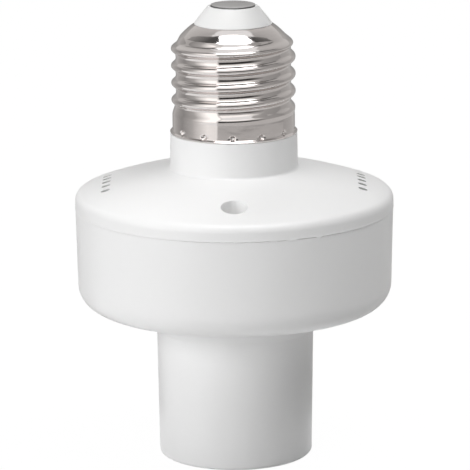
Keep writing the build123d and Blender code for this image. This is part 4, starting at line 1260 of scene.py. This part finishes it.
# %% [markdown]
# ## The floor and the paper
# The socket stands on white paper that fills the picture. More lamps could whiten the paper, but they
# would bleach the white case too. So the paper glows by itself, only for rays that see it directly:
# from the camera, in a mirror or through glass. For all other rays the room is dim and the floor is
# matt. A small share of the floor is matt for the camera too, and keeps a trace of the shadow.
# From here on, sizes are in metres unless they are multiplied by MM.

# %% Paper behind the socket
WHITE = (1, 1, 1, 1)
AMBIENT = 0.05


def seen_directly(tree):
    """1 for rays that should see the white paper: from the camera, a mirror or through glass."""
    path = add_node(tree, "ShaderNodeLightPath").outputs
    seen = Field(path["Is Camera Ray"]).math("MAXIMUM", Field(path["Is Glossy Ray"]))
    return seen.math("MAXIMUM", Field(path["Is Transmission Ray"]))


world = bpy.data.worlds.new("studio")
bpy.context.scene.world = world
world.use_nodes = True
tree = world.node_tree
paper = add_node(tree, "ShaderNodeBackground", {"Color": WHITE, "Strength": 1.0})
room = tree.nodes["Background"]
room.inputs["Color"].default_value = WHITE
room.inputs["Strength"].default_value = AMBIENT
share = seen_directly(tree)
mix = add_node(tree, "ShaderNodeMixShader", {0: share, 1: room.outputs[0], 2: paper.outputs[0]})
tree.links.new(mix.outputs[0], tree.nodes["World Output"].inputs["Surface"])
print("light from the room:", AMBIENT)

# %% Floor
FLOOR_HALF = 4.0
FLOOR_TONE = 0.6
PAPER_SHARE = 0.965
PAPER_GLOW = 1.022


def bare_material(name):
    """A material without its usual shader, its tree, and the socket that takes another one."""
    material = bpy.data.materials.new(name)
    material.use_nodes = True
    tree = material.node_tree
    tree.nodes.remove(tree.nodes["Principled BSDF"])
    return material, tree, tree.nodes["Material Output"].inputs["Surface"]


floor_mesh = bpy.data.meshes.new("floor")
corners = [(-FLOOR_HALF, -FLOOR_HALF, 0), (FLOOR_HALF, -FLOOR_HALF, 0)]
corners += [(FLOOR_HALF, FLOOR_HALF, 0), (-FLOOR_HALF, FLOOR_HALF, 0)]
floor_mesh.from_pydata(corners, [], [(0, 1, 2, 3)])
floor = new_piece("floor", floor_mesh)
floor_paper, tree, surface = bare_material("floor_paper")
matt = add_node(tree, "ShaderNodeBsdfDiffuse", {"Color": (FLOOR_TONE, FLOOR_TONE, FLOOR_TONE, 1)})
glow = add_node(tree, "ShaderNodeEmission", {"Color": WHITE, "Strength": PAPER_GLOW})
share = seen_directly(tree) * PAPER_SHARE
mix = add_node(tree, "ShaderNodeMixShader", {0: share, 1: matt.outputs[0], 2: glow.outputs[0]})
tree.links.new(mix.outputs[0], surface)
floor_mesh.materials.append(floor_paper)
print("floor:", 2 * FLOOR_HALF, "m wide")

# %% [markdown]
# ## Soft boxes
# A large soft box on the left gives the slow fall-off across the case. A smaller one overhead lights
# the dome, and two more fill the right side and the back. Spot lamps would draw hard shadows. An area
# light is Blender's soft box: the larger it is, the softer they get. All but the top box are hidden
# from mirrors, because the cards of the next step draw what the cap reflects.

# %% Four soft boxes
AIM = Vector((0, 0, 50 * MM))


def direction(azimuth_deg, elevation_deg):
    """A unit vector out from the object. Azimuth 0 is the front, and + is to the right."""
    azimuth = math.radians(azimuth_deg)
    elevation = math.radians(elevation_deg)
    level = math.cos(elevation)
    return Vector((level * math.sin(azimuth), -level * math.cos(azimuth), math.sin(elevation)))


def soft_box(name, azimuth_deg, elevation_deg, distance, width, height, watts, mirrored=False):
    """An area light that faces the object."""
    lamp = bpy.data.lights.new(name, "AREA")
    lamp.shape = "RECTANGLE"
    lamp.size = width
    lamp.size_y = height
    lamp.energy = watts
    obj = bpy.data.objects.new(name, lamp)
    bpy.context.scene.collection.objects.link(obj)
    out = direction(azimuth_deg, elevation_deg)
    facing = out.to_track_quat("Z", "Y").to_matrix().to_4x4()
    obj.matrix_world = Matrix.Translation(AIM + out * distance) @ facing
    obj.visible_glossy = mirrored
    print(name, "gives", watts, "W")


soft_box("key_box", -47, 12, 1.1, 1.25, 0.8, 11.0)
soft_box("top_box", 0, 80, 0.91, 0.76, 0.34, 3.3, mirrored=True)
soft_box("fill_box", 86, 59, 1.1, 0.9, 0.5, 4.9)
soft_box("back_box", -166, 52, 1.1, 0.9, 0.5, 2.7)

# %% [markdown]
# ## Cards that only show in reflections
# Bright nickel shows nothing but what stands around it. A photographer hangs white and black cards
# round such a thing. A picture of a room on the world would do it too, but cards can be set one by one
# until each streak falls where it does on the real cap. They are strips of a round tent, placed by
# the angles at which the cap sees them, and they don't light or shade anything. The lens cards hang
# in front of the others and slant, which makes the dark lens shapes on the cap's shoulder.

# %% Tent and cards
CARD_STEPS = 40
CARD_TINT = (1, 0.98, 0.96)
TENT_R = 0.3
LENS_R = 0.29
EYE_Z = 82 * MM
card_paint, tree, surface = bare_material("card_paint")
tone = add_node(tree, "ShaderNodeAttribute", attribute_name="glow")
glow = add_node(tree, "ShaderNodeEmission", {"Color": tone.outputs["Color"], "Strength": 1.0})
tree.links.new(glow.outputs[0], surface)


def tent(azimuth_deg, elevation_deg, radius=TENT_R):
    """Where a look out from the cap, in this direction, meets a round tent or the floor in it."""
    height = EYE_Z + radius * math.tan(math.radians(elevation_deg))
    if height < MM:
        height = MM
        radius = -EYE_Z / math.tan(math.radians(elevation_deg))
    return direction(azimuth_deg, 0) * radius + Vector((0, 0, height))


def card(name, tones, azimuths, elevations, end_elevations=None, radius=TENT_R):
    """A bent card on the tent. Its tone runs along it, and so may its height."""
    if end_elevations is None:
        end_elevations = elevations
    places = []
    glows = []
    for step in range(CARD_STEPS + 1):
        share = step / CARD_STEPS
        azimuth = azimuths[0] + (azimuths[1] - azimuths[0]) * share
        for first, last in zip(elevations, end_elevations):
            places.append(tent(azimuth, first + (last - first) * share, radius))
        tone = tones[0] + (tones[1] - tones[0]) * share
        glows += [(*(tone * tint for tint in CARD_TINT), 1)] * 2
    faces = [(2 * step, 2 * step + 1, 2 * step + 3, 2 * step + 2) for step in range(CARD_STEPS)]
    mesh = bpy.data.meshes.new(name)
    mesh.from_pydata(places, [], faces)
    glow = mesh.color_attributes.new("glow", "FLOAT_COLOR", "POINT")
    for entry, tone in zip(glow.data, glows):
        entry.color = tone
    mesh.materials.append(card_paint)
    obj = new_piece(name, mesh)
    obj.visible_camera = False
    obj.visible_diffuse = False
    obj.visible_shadow = False
    obj.visible_transmission = False


print("tent:", 2 * TENT_R, "m across")

# %% Hang the cards
WALL_FOOT = -15.2
DARK_FOOT = -11.6
KEY_FOOT = -7
DARK_TOP = 7
BACK_TOP = 20
PANEL_FOOT = 22
PANEL_TOP = 44
KEY_TOP = 50
FLOOR_BAND = (-66, WALL_FOOT - 0.2)
BACK_BAND = (WALL_FOOT, BACK_TOP)
UPPER_BAND = (BACK_TOP, 66)
card("key_fade_card", (0.32, 0.5), (-112, -84), (WALL_FOOT, KEY_TOP))
card("key_low_rise_card", (0.5, 1.1), (-84, -50), (WALL_FOOT, KEY_FOOT))
card("key_rise_card", (0.5, 1.5), (-84, -52), (KEY_FOOT, KEY_TOP))
card("key_low_card", (1.1, 1.05), (-50, -33), (WALL_FOOT, KEY_FOOT))
card("key_card", (1.5, 1.5), (-52, -33), (KEY_FOOT, KEY_TOP))
card("key_edge_card", (1.2, 0.6), (-33, -29), (WALL_FOOT, KEY_TOP))
card("key_top_card", (0.6, 0.6), (-112, -84), (KEY_TOP, 64))
card("front_panel_card", (1.3, 1.3), (-29, 26), (PANEL_FOOT, PANEL_TOP))
card("front_panel_fade_card", (1.3, 0.4), (26, 62), (PANEL_FOOT, PANEL_TOP))
card("front_card", (0.5, 0.45), (-29, 62), (DARK_TOP, PANEL_FOOT))
card("front_dark_card", (0.04, 0.04), (-29, 32), (DARK_FOOT, DARK_TOP))
card("front_dark_fade_card", (0.04, 0.38), (32, 62), (DARK_FOOT, DARK_TOP))
card("front_foot_card", (0.55, 0.5), (-29, 105), (WALL_FOOT, DARK_FOOT))
card("front_floor_card", (0.62, 0.58), (-31, 62), FLOOR_BAND)
card("right_card", (0.4, 0.34), (62, 105), (DARK_FOOT, PANEL_TOP))
card("right_high_card", (0.5, 0.35), (44, 84), (PANEL_TOP, 62))
card("left_high_card", (0.7, 0.8), (-84, -31), (KEY_TOP, 62))
card("right_top_card", (0.5, 0.5), (84, 105), (PANEL_TOP, 64))
card("right_floor_card", (0.58, 0.58), (62, 150), FLOOR_BAND)
card("right_back_card", (0.42, 0.52), (105, 148), BACK_BAND)
card("right_far_card", (0.52, 0.22), (148, 180), BACK_BAND)
card("left_back_card", (0.32, 0.52), (-112, -148), BACK_BAND)
card("left_far_card", (0.52, 0.22), (-148, -180), BACK_BAND)
card("right_upper_card", (0.45, 0.8), (105, 180), UPPER_BAND)
card("left_upper_card", (0.5, 0.8), (-112, -180), UPPER_BAND)
card("left_lens_card", (0.06, 0.1), (-65, -96), (62, 82), (49, 73), LENS_R)
card("left_lens_tip_card", (0.1, 0.36), (-96, -132), (49, 73), (26, 34), LENS_R)
card("right_lens_card", (0.06, 0.2), (83, 116), (59, 82), (38, 47), LENS_R)
card("back_floor_card", (0.5, 0.45), (150, 248), FLOOR_BAND)

# %% [markdown]
# ## The camera
# A camera can be set by eye, but then every other comparison with the photograph is a guess. This one
# was fitted to the photograph's outlines, with the lamp thread as the known size. The fit gave the
# focal length in pixels of a picture 470 pixels wide, so the lens follows from the sensor's width.

# %% Camera
CAMERA_X = 0.1
CAMERA_Y = -798.7
CAMERA_Z = 236.1
CAMERA_DOWN_DEG = 13.31
CAMERA_ROLL_DEG = -0.4
FOCAL_PIXELS = 3883
FRAME_PIXELS = 470
SENSOR_WIDTH = 36
NEAREST = 0.01
camera = bpy.data.cameras.new("camera")
camera.sensor_width = SENSOR_WIDTH
camera.lens = camera.sensor_width * FOCAL_PIXELS / FRAME_PIXELS
camera.clip_start = NEAREST
viewpoint = bpy.data.objects.new("camera", camera)
bpy.context.scene.collection.objects.link(viewpoint)
viewpoint.location = Vector((CAMERA_X, CAMERA_Y, CAMERA_Z)) * MM
tilt = Euler((math.radians(90 - CAMERA_DOWN_DEG), 0, 0)).to_matrix()
roll = Matrix.Rotation(math.radians(CAMERA_ROLL_DEG), 3, "Z")
viewpoint.rotation_euler = (tilt @ roll).to_euler()
bpy.context.scene.camera = viewpoint
bpy.context.scene.view_settings.view_transform = "Standard"
print("lens:", round(camera.lens, 1), "mm")
